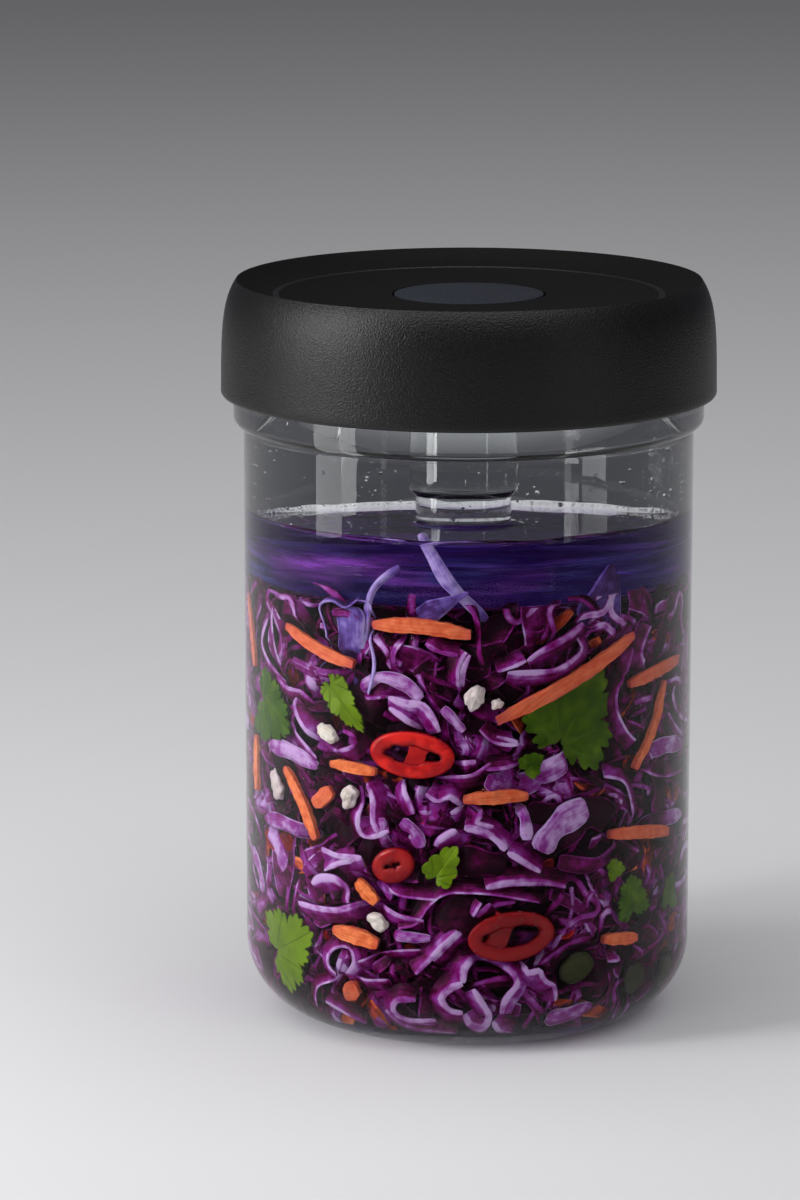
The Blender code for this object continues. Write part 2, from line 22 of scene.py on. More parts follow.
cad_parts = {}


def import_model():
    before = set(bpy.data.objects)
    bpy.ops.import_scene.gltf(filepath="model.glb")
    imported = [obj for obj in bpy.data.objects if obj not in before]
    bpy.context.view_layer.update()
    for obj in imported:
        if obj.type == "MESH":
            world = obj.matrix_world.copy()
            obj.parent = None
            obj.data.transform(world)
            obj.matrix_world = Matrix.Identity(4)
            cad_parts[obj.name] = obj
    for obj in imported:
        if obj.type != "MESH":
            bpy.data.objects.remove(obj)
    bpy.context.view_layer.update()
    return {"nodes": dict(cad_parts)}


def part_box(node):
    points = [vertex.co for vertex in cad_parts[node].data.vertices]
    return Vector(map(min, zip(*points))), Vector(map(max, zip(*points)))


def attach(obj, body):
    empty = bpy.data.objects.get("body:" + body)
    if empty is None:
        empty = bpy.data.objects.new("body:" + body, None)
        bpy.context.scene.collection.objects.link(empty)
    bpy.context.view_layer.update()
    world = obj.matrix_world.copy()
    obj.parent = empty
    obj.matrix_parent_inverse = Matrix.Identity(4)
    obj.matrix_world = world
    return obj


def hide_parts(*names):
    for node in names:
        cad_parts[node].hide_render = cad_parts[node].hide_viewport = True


LOG = logging.getLogger("fermentation_jar")
BODY = "root"
WELD = 0.00001
Colour = tuple[float, float, float]
Profile = list[tuple[float, float]]
Stops = tuple[tuple[float, Colour], ...]

# Sections of a shred as (across, through), closed, and what its mesh holds at each vertex
STRIP_SECTION = ((-1, 0), (-0.8, -1), (0.8, -1), (1, 0), (0.8, 1), (-0.8, 1), (-1, 0))
LEAF_SECTION = (
    (-1, 0), (-0.86, -1), (-0.3, -1), (0.3, -1), (0.86, -1), (1, 0), (0.86, 1), (0.3, 1), (-0.3, 1),
    (-0.86, 1), (-1, 0),
)
# The last layer holds painted shade, from 0 at the glass towards 1 deep in the heap.
SHRED_LAYERS = ("shade", "along", "across", "through", "painted_depth_shade")


class Link:
    """A shader socket on which Python's arithmetic adds Math nodes."""

    def __init__(self, graph: Graph, socket: bpy.types.NodeSocket) -> None:
        """Wraps a socket.

        Args:
            graph: The material's nodes.
            socket: An output socket of one of them.
        """
        self.graph = graph
        self.socket = socket

    def __add__(self, other: Link | float) -> Link:
        """This plus other."""
        return self.graph.maths("ADD", self, other)

    __radd__ = __add__

    def __sub__(self, other: Link | float) -> Link:
        """This minus other."""
        return self.graph.maths("SUBTRACT", self, other)

    def __rsub__(self, other: Link | float) -> Link:
        """Other minus this."""
        return self.graph.maths("SUBTRACT", other, self)

    def __mul__(self, other: Link | float) -> Link:
        """This times other."""
        return self.graph.maths("MULTIPLY", self, other)

    __rmul__ = __mul__

    def __truediv__(self, other: Link | float) -> Link:
        """This divided by other."""
        return self.graph.maths("DIVIDE", self, other)

    def __pow__(self, other: Link | float) -> Link:
        """This to the power of other."""
        return self.graph.maths("POWER", self, other)

    def __abs__(self) -> Link:
        """This without its sign."""
        return self.graph.maths("ABSOLUTE", self)

    def above(self, low: float, high: float) -> Link:
        """A smooth step from 0 at low to 1 at high."""
        settings = {"interpolation_type": "SMOOTHSTEP"}
        sockets = {"Value": self, "From Min": low, "From Max": high}
        return self.graph.node("ShaderNodeMapRange", settings, sockets, "Result")

    def larger(self, other: Link | float) -> Link:
        """The larger of this and other."""
        return self.graph.maths("MAXIMUM", self, other)


class Graph:
    """The nodes of one material or world."""

    def __init__(self, name: str, world: bool = False) -> None:
        """Starts a material, or a world, with no nodes but its output.

        Args:
            name: Its name.
            world: True for a world.
        """
        self.owner = bpy.data.worlds.new(name) if world else bpy.data.materials.new(name)
        self.owner.use_nodes = True
        self.tree = self.owner.node_tree
        self.tree.nodes.clear()
        self.output = self.tree.nodes.new("ShaderNodeOutputWorld" if world else "ShaderNodeOutputMaterial")

    def feed(self, socket: bpy.types.NodeSocket, value: object) -> None:
        """Links a value to a socket, or sets it there.

        Args:
            socket: An input socket.
            value: A Link, a number, or a colour or vector.
        """
        if isinstance(value, Link):
            self.tree.links.new(value.socket, socket)
        elif socket.type == "RGBA":
            socket.default_value = (*value[:3], 1.0)
        else:
            socket.default_value = value

    def node(
        self, kind: str, settings: dict | None = None, sockets: dict | None = None, result: str | int = 0
    ) -> Link:
        """Adds a node.

        Args:
            kind: The node's type.
            settings: Its properties, set first; stops are a ramp's (position, colour) pairs.
            sockets: Values or Links of its inputs, by name or number.
            result: The output that is returned.

        Returns:
            The output socket.
        """
        made = self.tree.nodes.new(kind)
        for name, value in (settings or {}).items():
            if name == "stops":
                self.set_stops(made.color_ramp, value)
            else:
                setattr(made, name, value)
        for key, value in (sockets or {}).items():
            self.feed(made.inputs[key], value)
        return Link(self, made.outputs[result])

    def set_stops(self, ramp: bpy.types.ColorRamp, stops: list[tuple[float, Colour]]) -> None:
        """Gives a colour ramp its stops.

        Args:
            ramp: The ramp of a Color Ramp node.
            stops: Pairs of position and colour.
        """
        while len(ramp.elements) < len(stops):
            ramp.elements.new(0.5)
        for element, (position, colour) in zip(ramp.elements, stops):
            element.position = position
            element.color = (*colour, 1.0)

    def maths(self, operation: str, first: Link | float, second: Link | float = 0.0) -> Link:
        """A Math node of two values."""
        return self.node("ShaderNodeMath", {"operation": operation}, {0: first, 1: second})

    def mix(self, share: Link | float, first: Link | Colour, second: Link | Colour) -> Link:
        """A colour that goes from first to second with share."""
        return self.node("ShaderNodeMix", {"data_type": "RGBA"}, {0: share, 6: first, 7: second}, 2)

    def ramp(self, value: Link, stops: list[tuple[float, Colour]]) -> Link:
        """A colour read from stops by a value."""
        return self.node("ShaderNodeValToRGB", {"stops": stops}, {"Fac": value})

    def place(self) -> Link:
        """The point on the surface, in the object's own coordinates."""
        return self.node("ShaderNodeTexCoord", result="Object")

    def axis(self, name: str) -> Link:
        """One coordinate, X, Y or Z, of the point on the surface."""
        return self.node("ShaderNodeSeparateXYZ", sockets={0: self.place()}, result=name)

    def stretched(self, scale: Colour) -> Link:
        """The point on the surface, scaled unevenly."""
        return self.node("ShaderNodeMapping", sockets={"Vector": self.place(), "Scale": scale})

    def noise(self, scale: float, detail: float = 3.0, at: Link | None = None) -> Link:
        """Soft noise.

        Args:
            scale: Cells to the metre.
            detail: Octaves.
            at: Where it is read; the surface point if left out.

        Returns:
            A value about 0.5.
        """
        sockets = {"Vector": at or self.place(), "Scale": scale, "Detail": detail}
        return self.node("ShaderNodeTexNoise", sockets=sockets)

    def attribute(self, name: str) -> Link:
        """A number that the mesh holds at each vertex."""
        return self.node("ShaderNodeAttribute", {"attribute_name": name}, result="Fac")

    def bump(self, height: Link, distance: float, strength: float = 1.0) -> Link:
        """A normal bent by a height in units of distance."""
        sockets = {"Height": height, "Distance": distance, "Strength": strength}
        return self.node("ShaderNodeBump", sockets=sockets)

    def principled(self, sockets: dict) -> Link:
        """A Principled BSDF with these inputs."""
        return self.node("ShaderNodeBsdfPrincipled", sockets=sockets)

    def either(self, share: Link | float, first: Link, second: Link) -> Link:
        """A shader that goes from first to second with share."""
        return self.node("ShaderNodeMixShader", sockets={0: share, 1: first, 2: second})

    def lets_lamps_through(self, shader: Link, tint: Colour = (1.0, 1.0, 1.0)) -> Link:
        """A shader that light from lamps and matt surfaces crosses straight.

        Args:
            shader: What every other ray sees.
            tint: What the straight light is multiplied by.

        Returns:
            The mixed shader.
        """
        clear = self.node("ShaderNodeBsdfTransparent", sockets={"Color": tint})
        shadow = self.node("ShaderNodeLightPath", result="Is Shadow Ray")
        diffuse = self.node("ShaderNodeLightPath", result="Is Diffuse Ray")
        return self.either(shadow.larger(diffuse), shader, clear)

    def finish(self, surface: Link, volume: Link | None = None) -> bpy.types.Material | bpy.types.World:
        """Links the shaders to the output.

        Args:
            surface: The surface shader.
            volume: The volume shader, if the piece has one.

        Returns:
            The material or world.
        """
        self.feed(self.output.inputs["Surface"], surface)
        if volume:
            self.feed(self.output.inputs["Volume"], volume)
        return self.owner


@dataclass(frozen=True)
class ClearGlass:
    """Polished glass. A wetted face neither mirrors nor shows, and bends light as the dry one does."""

    name: str
    index: float = 1.5
    colour: Colour = (0.97, 0.985, 0.985)
    mirror: float = 0.05

    def material(self) -> bpy.types.Material:
        """The finish as a material."""
        graph = Graph(self.name)
        glass = graph.principled(
            {
                "Base Color": self.colour,
                "Roughness": 0.0,
                "IOR": self.index,
                "Transmission Weight": 1.0,
                "Specular Tint": (self.mirror,) * 3,
            }
        )
        return graph.finish(graph.lets_lamps_through(glass))


@dataclass(frozen=True)
class SunkenGlass:
    """Glass that stands partly in brine, where it bends light less; below the brine it carries painted reflections as
    blue and violet streaks.
    """

    name: str
    level: float
    index: float = 1.5
    sunken_index: float = 1.12
    # Colours of the painted reflections below the brine.
    blue: Colour = (0.095, 0.105, 0.360)
    violet: Colour = (0.300, 0.080, 0.470)
    painted_glints: float = 1.0
    colour: Colour = (0.97, 0.985, 0.985)

    def material(self) -> bpy.types.Material:
        """The finish as a material."""
        graph = Graph(self.name)
        shaders = [
            graph.principled(
                {"Base Color": self.colour, "Roughness": 0.0, "IOR": index, "Transmission Weight": 1.0}
            )
            for index in (self.sunken_index, self.index)
        ]
        # Painted reflection: blue and violet streaks and patches on the glass below the brine stand in for light
        # caught in it.
        streaks = graph.noise(48.0, 4.0, graph.stretched((1.0, 1.0, 13.0)))
        patches = graph.noise(38.0, 2.0, graph.stretched((1.0, 1.0, 3.0)))
        colour = graph.mix(patches.above(0.40, 0.62), self.blue, self.violet)
        painted_glints = graph.principled({"Base Color": colour, "Roughness": 0.5, "Specular IOR Level": 0.0})
        share = (streaks.above(0.42, 0.72) * 0.55 + patches.above(0.35, 0.7) * 0.15) * self.painted_glints
        shaders[0] = graph.either(share, shaders[0], painted_glints)
        dry = graph.axis("Z").above(self.level - 0.0001, self.level + 0.0001)
        return graph.finish(graph.lets_lamps_through(graph.either(dry, *shaders)))


@dataclass(frozen=True)
class Brine:
    """Violet brine that darkens with depth. Only its open surface mirrors."""

    name: str
    level: float
    wall: float
    index: float = 1.34
    absorbed: Colour = (22.0, 34.0, 10.0)

    def material(self) -> bpy.types.Material:
        """The finish as a material."""
        graph = Graph(self.name)
        shaders = [
            graph.principled(
                {
                    "Base Color": (1.0, 1.0, 1.0),
                    "Roughness": 0.0,
                    "IOR": self.index,
                    "Transmission Weight": 1.0,
                    "Specular Tint": tint,
                }
            )
            for tint in ((0.0, 0.0, 0.0), (1.0, 1.0, 1.0))
        ]
        radius = graph.maths("POWER", graph.axis("X"), 2.0) + graph.maths("POWER", graph.axis("Y"), 2.0)
        inside = 1 - radius.above(self.wall**2, (self.wall + 0.0001) ** 2)
        high = graph.axis("Z").above(self.level - 0.0003, self.level - 0.0002)
        strongest = max(self.absorbed)
        colour = tuple(1 - value / strongest for value in self.absorbed)
        depth = graph.node("ShaderNodeVolumeAbsorption", sockets={"Color": colour, "Density": strongest})
        surface = graph.either(inside * high, *shaders)
        return graph.finish(graph.lets_lamps_through(surface), depth)


@dataclass(frozen=True)
class Moulded:
    """Satin moulded plastic or silicone with a fine grain."""

    name: str
    colour: Colour
    roughness: float
    grain: float = 0.00016
    grain_scale: float = 2300.0
    mirror: float = 0.35

    def material(self) -> bpy.types.Material:
        """The finish as a material."""
        graph = Graph(self.name)
        fine = graph.noise(self.grain_scale, 2.0)
        worn = graph.noise(45.0, 4.0)
        speckled = 0.4 * worn + 0.6 * fine.above(0.35, 0.65)
        shade = graph.mix(speckled, self.colour, tuple(1.9 * value for value in self.colour))
        plastic = graph.principled(
            {
                "Base Color": shade,
                "Roughness": self.roughness + 0.10 * (worn - 0.5) + 0.20 * (fine - 0.5),
                "Specular IOR Level": self.mirror,
                "Normal": graph.bump(fine, self.grain),
            }
        )
        return graph.finish(plastic)


@dataclass(frozen=True)
class CabbageCut:
    """A shred: purple skin on its broad faces, pale flesh on its cut edges, and painted shade that darkens it deep in
    the heap.
    """

    name: str
    stops: Stops = (
        (0.00, (0.012, 0.0001, 0.004)),
        (0.22, (0.066, 0.0003, 0.025)),
        (0.45, (0.190, 0.0020, 0.120)),
        (0.68, (0.260, 0.038, 0.270)),
        (1.00, (0.550, 0.360, 0.620)),
    )

    def material(self) -> bpy.types.Material:
        """The finish as a material."""
        graph = Graph(self.name)
        shade, along, across, through, painted_depth_shade = (graph.attribute(name) for name in SHRED_LAYERS)
        place = graph.node("ShaderNodeCombineXYZ", sockets={"X": along * 0.12, "Y": across * 4.2, "Z": shade * 9})
        fibres = graph.noise(1.0, 2.0, place)
        broad = graph.noise(120.0, 2.0)
        fine = graph.noise(420.0, 3.0)
        cut = (1 - abs(through)).above(0.0, 0.4)
        # Painted shade: the depth layer darkens a shred the further it lies behind the glass.
        value = 0.60 * shade + 0.38 * cut - 0.50 * painted_depth_shade + 1.4 * (broad - 0.49) + 0.9 * (fine - 0.5)
        wet = graph.principled(
            {
                "Base Color": graph.ramp(value + 0.42 * (fibres - 0.5), list(self.stops)),
                "Roughness": 0.34 + 0.2 * (fine - 0.5),
                "Specular IOR Level": 0.06,
                "Subsurface Weight": 0.25,
                "Subsurface Radius": (0.0030, 0.0008, 0.0020),
                "Subsurface Scale": 1.0,
                "Normal": graph.bump(fibres + 0.7 * fine, 0.00022),
            }
        )
        return graph.finish(wet)


BURIED_CARROT: Stops = (
    (0.00, (0.050, 0.002, 0.002)),
    (0.30, (0.280, 0.022, 0.008)),
    (0.60, (0.620, 0.100, 0.025)),
    (1.00, (0.900, 0.260, 0.080)),
)
BURIED_CHILI: Stops = (
    (0.00, (0.030, 0.0005, 0.001)),
    (0.40, (0.160, 0.001, 0.002)),
    (1.00, (0.560, 0.010, 0.008)),
)
SOAKED: Stops = (
    (0.00, (0.020, 0.006, 0.040)),
    (0.30, (0.060, 0.020, 0.120)),
    (0.60, (0.140, 0.085, 0.330)),
    (1.00, (0.440, 0.350, 0.640)),
)


@dataclass(frozen=True)
class SlawCoreInPaintedShade:
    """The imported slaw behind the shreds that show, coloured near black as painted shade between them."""

    name: str
    # Painted shade: both colours are near black, for the shadow deep between the shreds.
    dark: Colour = (0.006, 0.0003, 0.003)
    light: Colour = (0.045, 0.001, 0.022)

    def material(self) -> bpy.types.Material:
        """The finish as a material."""
        graph = Graph(self.name)
        strands = graph.noise(240.0, 4.0)
        packed = graph.principled(
            {
                "Base Color": graph.mix(strands.above(0.35, 0.75), self.dark, self.light),
                "Roughness": 0.5,
                "Specular IOR Level": 0.2,
                "Normal": graph.bump(strands, 0.0015),
            }
        )
        return graph.finish(packed)


@dataclass(frozen=True)
class CutVegetable:
    """A wet cut vegetable with fibres along its length, stained at the rim."""

    name: str
    colour: Colour
    fibre: Colour
    stain: Colour
    fibre_scale: float = 900.0
    roughness: float = 0.36
    stained_from: float = 0.72

    def material(self) -> bpy.types.Material:
        """The finish as a material."""
        graph = Graph(self.name)
        along = graph.attribute("along")
        across = graph.attribute("across")
        lined = graph.node("ShaderNodeCombineXYZ", sockets={"X": along * 0.0009, "Y": across * 0.006})
        fibres = graph.noise(self.fibre_scale, 3.0, lined)
        blotch = graph.noise(560.0, 4.0)
        body = graph.mix((0.55 * fibres + 0.75 * blotch).above(0.42, 0.86), self.colour, self.fibre)
        shade = graph.attribute("shade")
        rim = abs(across).larger(abs(along)).above(self.stained_from, 1.05)
        stained = graph.mix((rim * 0.45 + 0.85 * shade * blotch), body, self.stain)
        wet = graph.principled(
            {
                "Base Color": stained,
                "Roughness": self.roughness + 0.15 * (blotch - 0.5),
                "Specular IOR Level": 0.10,
                "Normal": graph.bump(fibres + 0.5 * blotch, 0.00030),
            }
        )
        return graph.finish(wet)


@dataclass(frozen=True)
class ChiliFlesh:
    """Glossy red chili: skin outside, lighter flesh on the cut face, painted shade towards the hole, and painted
    shade over slices that lie under a film or behind a leaf.
    """

    name: str
    skin: Colour = (0.30, 0.002, 0.003)
    flesh: Colour = (0.68, 0.016, 0.010)
    # Painted shade: inner darkens the cut face towards the hole.
    inner: Colour = (0.13, 0.001, 0.004)
    blush: Colour = (0.36, 0.002, 0.003)
    # Painted shade: sunken darkens whole slices, most those that lie under a film of cabbage or behind a leaf.
    sunken: Colour = (0.13, 0.001, 0.004)

    def material(self) -> bpy.types.Material:
        """The finish as a material."""
        graph = Graph(self.name)
        across = graph.attribute("across")
        mottled = graph.noise(420.0, 4.0)
        broad = graph.noise(170.0, 2.0)
        cut = graph.mix((0.5 * mottled + 0.5 * broad).above(0.42, 0.60), self.flesh, self.blush)
        outer = graph.mix(across.above(0.55, 0.9), cut, self.skin)
        # Painted shade at the lip of the hole.
        lip = graph.mix(1 - (across + 0.9 * (broad - 0.5)).above(-0.95, -0.30), outer, self.inner)
        body = graph.mix(graph.attribute("shade"), lip, self.sunken)
        wet = graph.principled(
            {
                "Base Color": body,
                "Roughness": 0.26 + 0.12 * (mottled - 0.5),
                "Specular IOR Level": 0.2,
                "Normal": graph.bump(mottled, 0.00015),
            }
        )
        return graph.finish(wet)


@dataclass(frozen=True)
class LeafGreen:
    """A wet herb leaf with pale veins that fan out from its stalk."""

    name: str
    green: Colour = (0.026, 0.078, 0.0004)
    bright: Colour = (0.150, 0.260, 0.006)
    vein: Colour = (0.100, 0.190, 0.015)

    def material(self) -> bpy.types.Material:
        """The finish as a material."""
        graph = Graph(self.name)
        along = graph.attribute("along")
        across = graph.attribute("across")
        shade = graph.attribute("shade")
        turn = graph.maths("ARCTAN2", across, along + 0.55)
        reach = (along + 0.55) ** 2.0 + across**2.0
        fan = abs(graph.maths("SINE", turn * 4.5))
        lines = 1 - (fan * reach).above(0.01, 0.09)
        blotch = graph.noise(300.0, 3.0)
        # Each leaf's shade, partly painted light and shade, moves it from green to bright.
        body = graph.mix((0.55 * shade + 0.9 * (blotch - 0.35)).above(0.0, 0.8), self.green, self.bright)
        wet = graph.principled(
            {
                "Base Color": graph.mix(lines * 0.45, body, self.vein),
                "Roughness": 0.38,
                "Specular IOR Level": 0.06,
                "Normal": graph.bump(lines * -1.0 + blotch * 0.6, 0.00025),
            }
        )
        return graph.finish(wet)


@dataclass(frozen=True)
class PaleFloor:
    """The studio's plain floor."""

    name: str = "pale floor"
    colour: Colour = (0.66, 0.66, 0.67)

    def material(self) -> bpy.types.Material:
        """The finish as a material."""
        graph = Graph(self.name)
        soft = graph.noise(3.0, 2.0)
        tint = graph.mix(soft, self.colour, tuple(0.98 * value for value in self.colour))
        return graph.finish(graph.principled({"Base Color": tint, "Roughness": 0.75}))


def arc(centre: tuple[float, float], size: float, start: float, end: float, steps: int) -> Profile:
    """Points of an arc in the turning plane.

    Args:
        centre: Radius and height of its centre.
        size: Its radius.
        start: Where it starts, in degrees from the outward direction.
        end: Where it ends.
        steps: Its segments.

    Returns:
        Points as (radius, height).
    """
    turns = [math.radians(start + (end - start) * k / steps) for k in range(steps + 1)]
    return [(centre[0] + size * math.cos(turn), centre[1] + size * math.sin(turn)) for turn in turns]


def spun(profile: Profile, sides: int) -> bmesh.types.BMesh:
    """A profile spun a full turn round Z.

    Args:
        profile: Points as (radius, height).
        sides: Steps of the turn.

    Returns:
        The closed mesh, its faces pointing out.
    """
    bm = bmesh.new()
    points = [bm.verts.new((radius, 0.0, height)) for radius, height in profile]
    edges = [bm.edges.new(pair) for pair in zip(points, points[1:])]
    bmesh.ops.spin(
        bm, geom=points + edges, cent=(0, 0, 0), axis=(0, 0, 1), angle=math.tau, steps=sides, use_merge=True
    )
    bmesh.ops.remove_doubles(bm, verts=bm.verts, dist=WELD)
    bmesh.ops.recalc_face_normals(bm, faces=bm.faces)
    return bm


def gathered(jobs: list[Callable[[bmesh.types.BMesh], None]], layers: tuple[str, ...] = ()) -> bmesh.types.BMesh:
    """Adds many small shapes to one mesh, in batches, because an operator slows down in a large mesh.

    Args:
        jobs: Functions that each add one shape to a mesh.
        layers: Names of the mesh's vertex layers.

    Returns:
        The mesh of them all.
    """
    whole = bmesh.new()
    for start in range(0, len(jobs), 24):
        batch = bmesh.new()
        for name in layers:
            batch.verts.layers.float.new(name)
        for job in jobs[start : start + 24]:
            job(batch)
        mesh = bpy.data.meshes.new("batch")
        batch.to_mesh(mesh)
        batch.free()
        whole.from_mesh(mesh)
        bpy.data.meshes.remove(mesh)
    return whole


def add_piece(
    name: str, bm: bmesh.types.BMesh, finishes: list[bpy.types.Material], nodes: list[str],
    sharp: float = 40.0,
) -> bpy.types.Object:
    """Makes a mesh a piece of the jar.

    Args:
        name: The piece's name.
        bm: Its mesh, which is used up.
        finishes: Its materials.
        nodes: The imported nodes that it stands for.
        sharp: Edges that turn more than this many degrees stay sharp.

    Returns:
        The object.
    """
    mesh = bpy.data.meshes.new(name)
    bm.to_mesh(mesh)
    bm.free()
    obj = bpy.data.objects.new(name, mesh)
    for finish in finishes:
        mesh.materials.append(finish)
    bpy.context.scene.collection.objects.link(obj)
    smooth(obj, sharp)
    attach(obj, BODY)
    if nodes:
        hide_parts(*nodes)
    return obj


def smooth(obj: bpy.types.Object, sharp: float) -> None:
    """Shades an object smooth between edges that turn more than sharp degrees."""
    obj.data.shade_smooth()
    obj.data.set_sharp_from_angle(angle=math.radians(sharp))


def apply_modifiers(obj: bpy.types.Object, sharp: float) -> None:
    """Replaces an object's mesh with what its modifiers make of it."""
    bpy.context.view_layer.update()
    graph = bpy.context.evaluated_depsgraph_get()
    finished = bpy.data.meshes.new_from_object(obj.evaluated_get(graph))
    obj.modifiers.clear()
    obj.data = finished
    smooth(obj, sharp)


def add_thickness(obj: bpy.types.Object, thickness: float, rim_material: int = 0, sharp: float = 40.0) -> None:
    """Gives an open sheet its thickness.

    Args:
        obj: The object.
        thickness: In metres, shared by both sides.
        rim_material: How many slots further on the material of the rim is.
        sharp: Edges that turn more than this many degrees stay sharp.
    """
    shell = obj.modifiers.new("Thickness", "SOLIDIFY")
    shell.thickness = thickness
    shell.offset = 0.0
    shell.material_offset_rim = rim_material
    apply_modifiers(obj, sharp)


@dataclass(frozen=True)
class Wall:
    """The jar's inner face. Azimuth is counted in degrees from the front, at -Y, towards +X."""

    radius: float = 0.052
    corner: float = 0.0145
    floor: float = 0.0055
    gap: float = 0.0004
    lowest: float = 0.0069

    def radius_at(self, height: float) -> float:
        """Radius of the inner face at a height, round its lower corner too."""
        below = self.corner - (height - self.floor)
        if below <= 0:
            return self.radius
        return self.radius - self.corner + math.sqrt(max(self.corner**2 - below**2, 0.0))

    def bend(self, azimuth: float, height: float, flat: Vector) -> Vector:
        """Bends a flat point to the wall.

        Args:
            azimuth: Where the flat frame's origin lies.
            height: Its height.
            flat: The point as (across, inwards, up).

        Returns:
            The point in the jar's frame.
        """
        up = max(height + flat.z, self.lowest)
        radius = self.radius_at(up) - self.gap - flat.y
        turn = math.radians(azimuth) + flat.x / self.radius
        return Vector((radius * math.sin(turn), -radius * math.cos(turn), up))


WALL = Wall()


@dataclass
class GlassBody:
    """The straight-sided glass jar with its bead and hidden neck."""

    level: float
    radius: float = 0.055
    corner: float = 0.0185
    bead_radius: float = 0.0575
    bead_bottom: float = 0.1465
    bead_top: float = 0.1575
    neck_radius: float = 0.0546
    neck_inside: float = 0.0508
    rim: float = 0.1748
    rim_round: float = 0.0012
    sides: int = 128

    def profile(self) -> Profile:
        """The wall's section, from the middle of the floor inside to the middle of the base."""
        inner = (WALL.radius - WALL.corner, WALL.floor + WALL.corner)
        outer = (self.radius - self.corner, self.corner)
        swell = self.bead_radius - self.radius
        rim_height = self.rim - self.rim_round
        upper = (self.bead_radius - swell / 2, self.bead_top - swell / 2)
        return (
            [(0.0, WALL.floor)]
            + arc(inner, WALL.corner, -90, 0, 12)
            + [(WALL.radius, self.level), (WALL.radius, self.bead_bottom - 0.003)]
            + [(WALL.radius - 0.0001, self.bead_bottom), (self.neck_inside + 0.0001, self.bead_top)]
            + [(self.neck_inside, self.bead_top + 0.003)]
            + arc((self.neck_inside + self.rim_round, rim_height), self.rim_round, 180, 90, 4)
            + arc((self.neck_radius - self.rim_round, rim_height), self.rim_round, 90, 0, 4)
            + [(self.neck_radius, self.bead_top + swell / 2)]
            + arc(upper, swell / 2, 80, 0, 5)
            + arc((self.radius, self.bead_bottom + swell), swell, 0, -80, 6)
            + [(self.radius, self.bead_bottom - 0.0012)]
            + arc(outer, self.corner, 0, -90, 14)
            + [(0.0, 0.0)]
        )

    def zone(self, face: bmesh.types.BMFace) -> int:
        """The material of a face: 0 outside, 1 where the brine touches it, 2 inside above the brine."""
        middle = face.calc_center_median()
        outwards = Vector((middle.x, middle.y, 0.0)).normalized()
        inner_floor = face.normal.z > 0.3 and middle.z < WALL.floor + WALL.corner
        if middle.z > self.bead_bottom - 0.0015:
            return 2
        if face.normal.dot(outwards) < -0.3 or inner_floor:
            return 1 if middle.z < self.level else 2
        return 0

    def build(self) -> bpy.types.Object:
        """Builds the jar."""
        bm = spun(self.profile(), self.sides)
        for face in bm.faces:
            face.material_index = self.zone(face)
        finishes = [
            ClearGlass("clear jar glass").material(),
            ClearGlass("jar glass against brine", mirror=0.0).material(),
            ClearGlass("jar glass above brine", mirror=0.35).material(),
        ]
        return add_piece("jar_body", bm, finishes, ["glass_jar"])


@dataclass
class BrineFill:
    """The brine, from just inside the glass up to its level, which climbs the wall a little."""

    level: float
    reach: float = 0.00015
    climb: float = 0.0015
    climb_run: float = 0.0030
    neck: float = 0.0118
    sides: int = 192

    def profile(self) -> Profile:
        """The brine's section, from the middle of its surface to the middle of its floor."""
        edge = WALL.radius + self.reach
        corner = (WALL.radius - WALL.corner, WALL.floor + WALL.corner)
        shares = [k / 6 for k in range(7)]
        rising = [
            (edge - self.climb_run * (1 - share), self.level + self.climb * share**2.2) for share in shares
        ]
        falling = [
            (self.neck + self.climb_run * (1 - share), self.level + 0.5 * self.climb * share**2.2)
            for share in reversed(shares)
        ]
        return (
            [(0.0, self.level + 0.5 * self.climb)]
            + falling
            + [(0.028, self.level), (0.040, self.level)]
            + rising
            + arc(corner, WALL.corner + self.reach, 0, -90, 12)
            + [(0.0, WALL.floor - self.reach)]
        )

    def build(self) -> bpy.types.Object:
        """Builds the brine."""
        bm = spun(self.profile(), self.sides)
        for vert in bm.verts:
            turn = math.atan2(vert.co.y, vert.co.x)
            uneven = noise.noise(Vector((math.cos(turn), math.sin(turn), 0.2)) * 4.2)
            if vert.co.z > self.level and math.hypot(vert.co.x, vert.co.y) > 0.040:
                vert.co.z = self.level + (vert.co.z - self.level) * (0.9 + 0.45 * uneven)
        finish = Brine("violet brine", self.level, WALL.radius).material()
        return add_piece("brine", bm, [finish], [])


@dataclass
class Bubbles:
    """Bubbles that cling to the glass, a fringe of them along the brine's edge, and droplets above it."""

    level: float
    seed: int = 12
    clinging: int = 150
    droplets: int = 130
    fringe: int = 620

    def build(self) -> bpy.types.Object:
        """Builds the bubbles."""
        draw = random.Random(self.seed)
        jobs = []
        for number in range(self.clinging + self.droplets + self.fringe):
            azimuth = draw.uniform(-180, 180)
            if number >= self.clinging + self.fringe:
                radius = 0.0002 + 0.0005 * draw.random() ** 2
                height = self.level + 0.003 + 0.018 * draw.random() ** 1.5
                place = WALL.bend(azimuth, height, Vector((0.0, -WALL.gap + radius * 0.2, 0.0)))
            elif number < self.clinging:
                radius = 0.00018 + 0.00045 * draw.random() ** 3
                place = WALL.bend(azimuth, draw.uniform(0.012, self.level - 0.004), Vector((0.0, radius, 0.0)))
            else:
                radius = draw.uniform(0.00014, 0.00042)
                flat = Vector((0.0, radius * 0.7 + draw.uniform(0.0, 0.0006), draw.uniform(0.0003, 0.0014)))
                place = WALL.bend(azimuth, self.level, flat)
            settings = {"u_segments": 8, "v_segments": 5, "radius": radius, "matrix": Matrix.Translation(place)}
            jobs.append(lambda bm, settings=settings: bmesh.ops.create_uvsphere(bm, **settings))
        finish = ClearGlass("bubble", 1.25, mirror=1.0).material()
        return add_piece("bubbles", gathered(jobs), [finish], [])


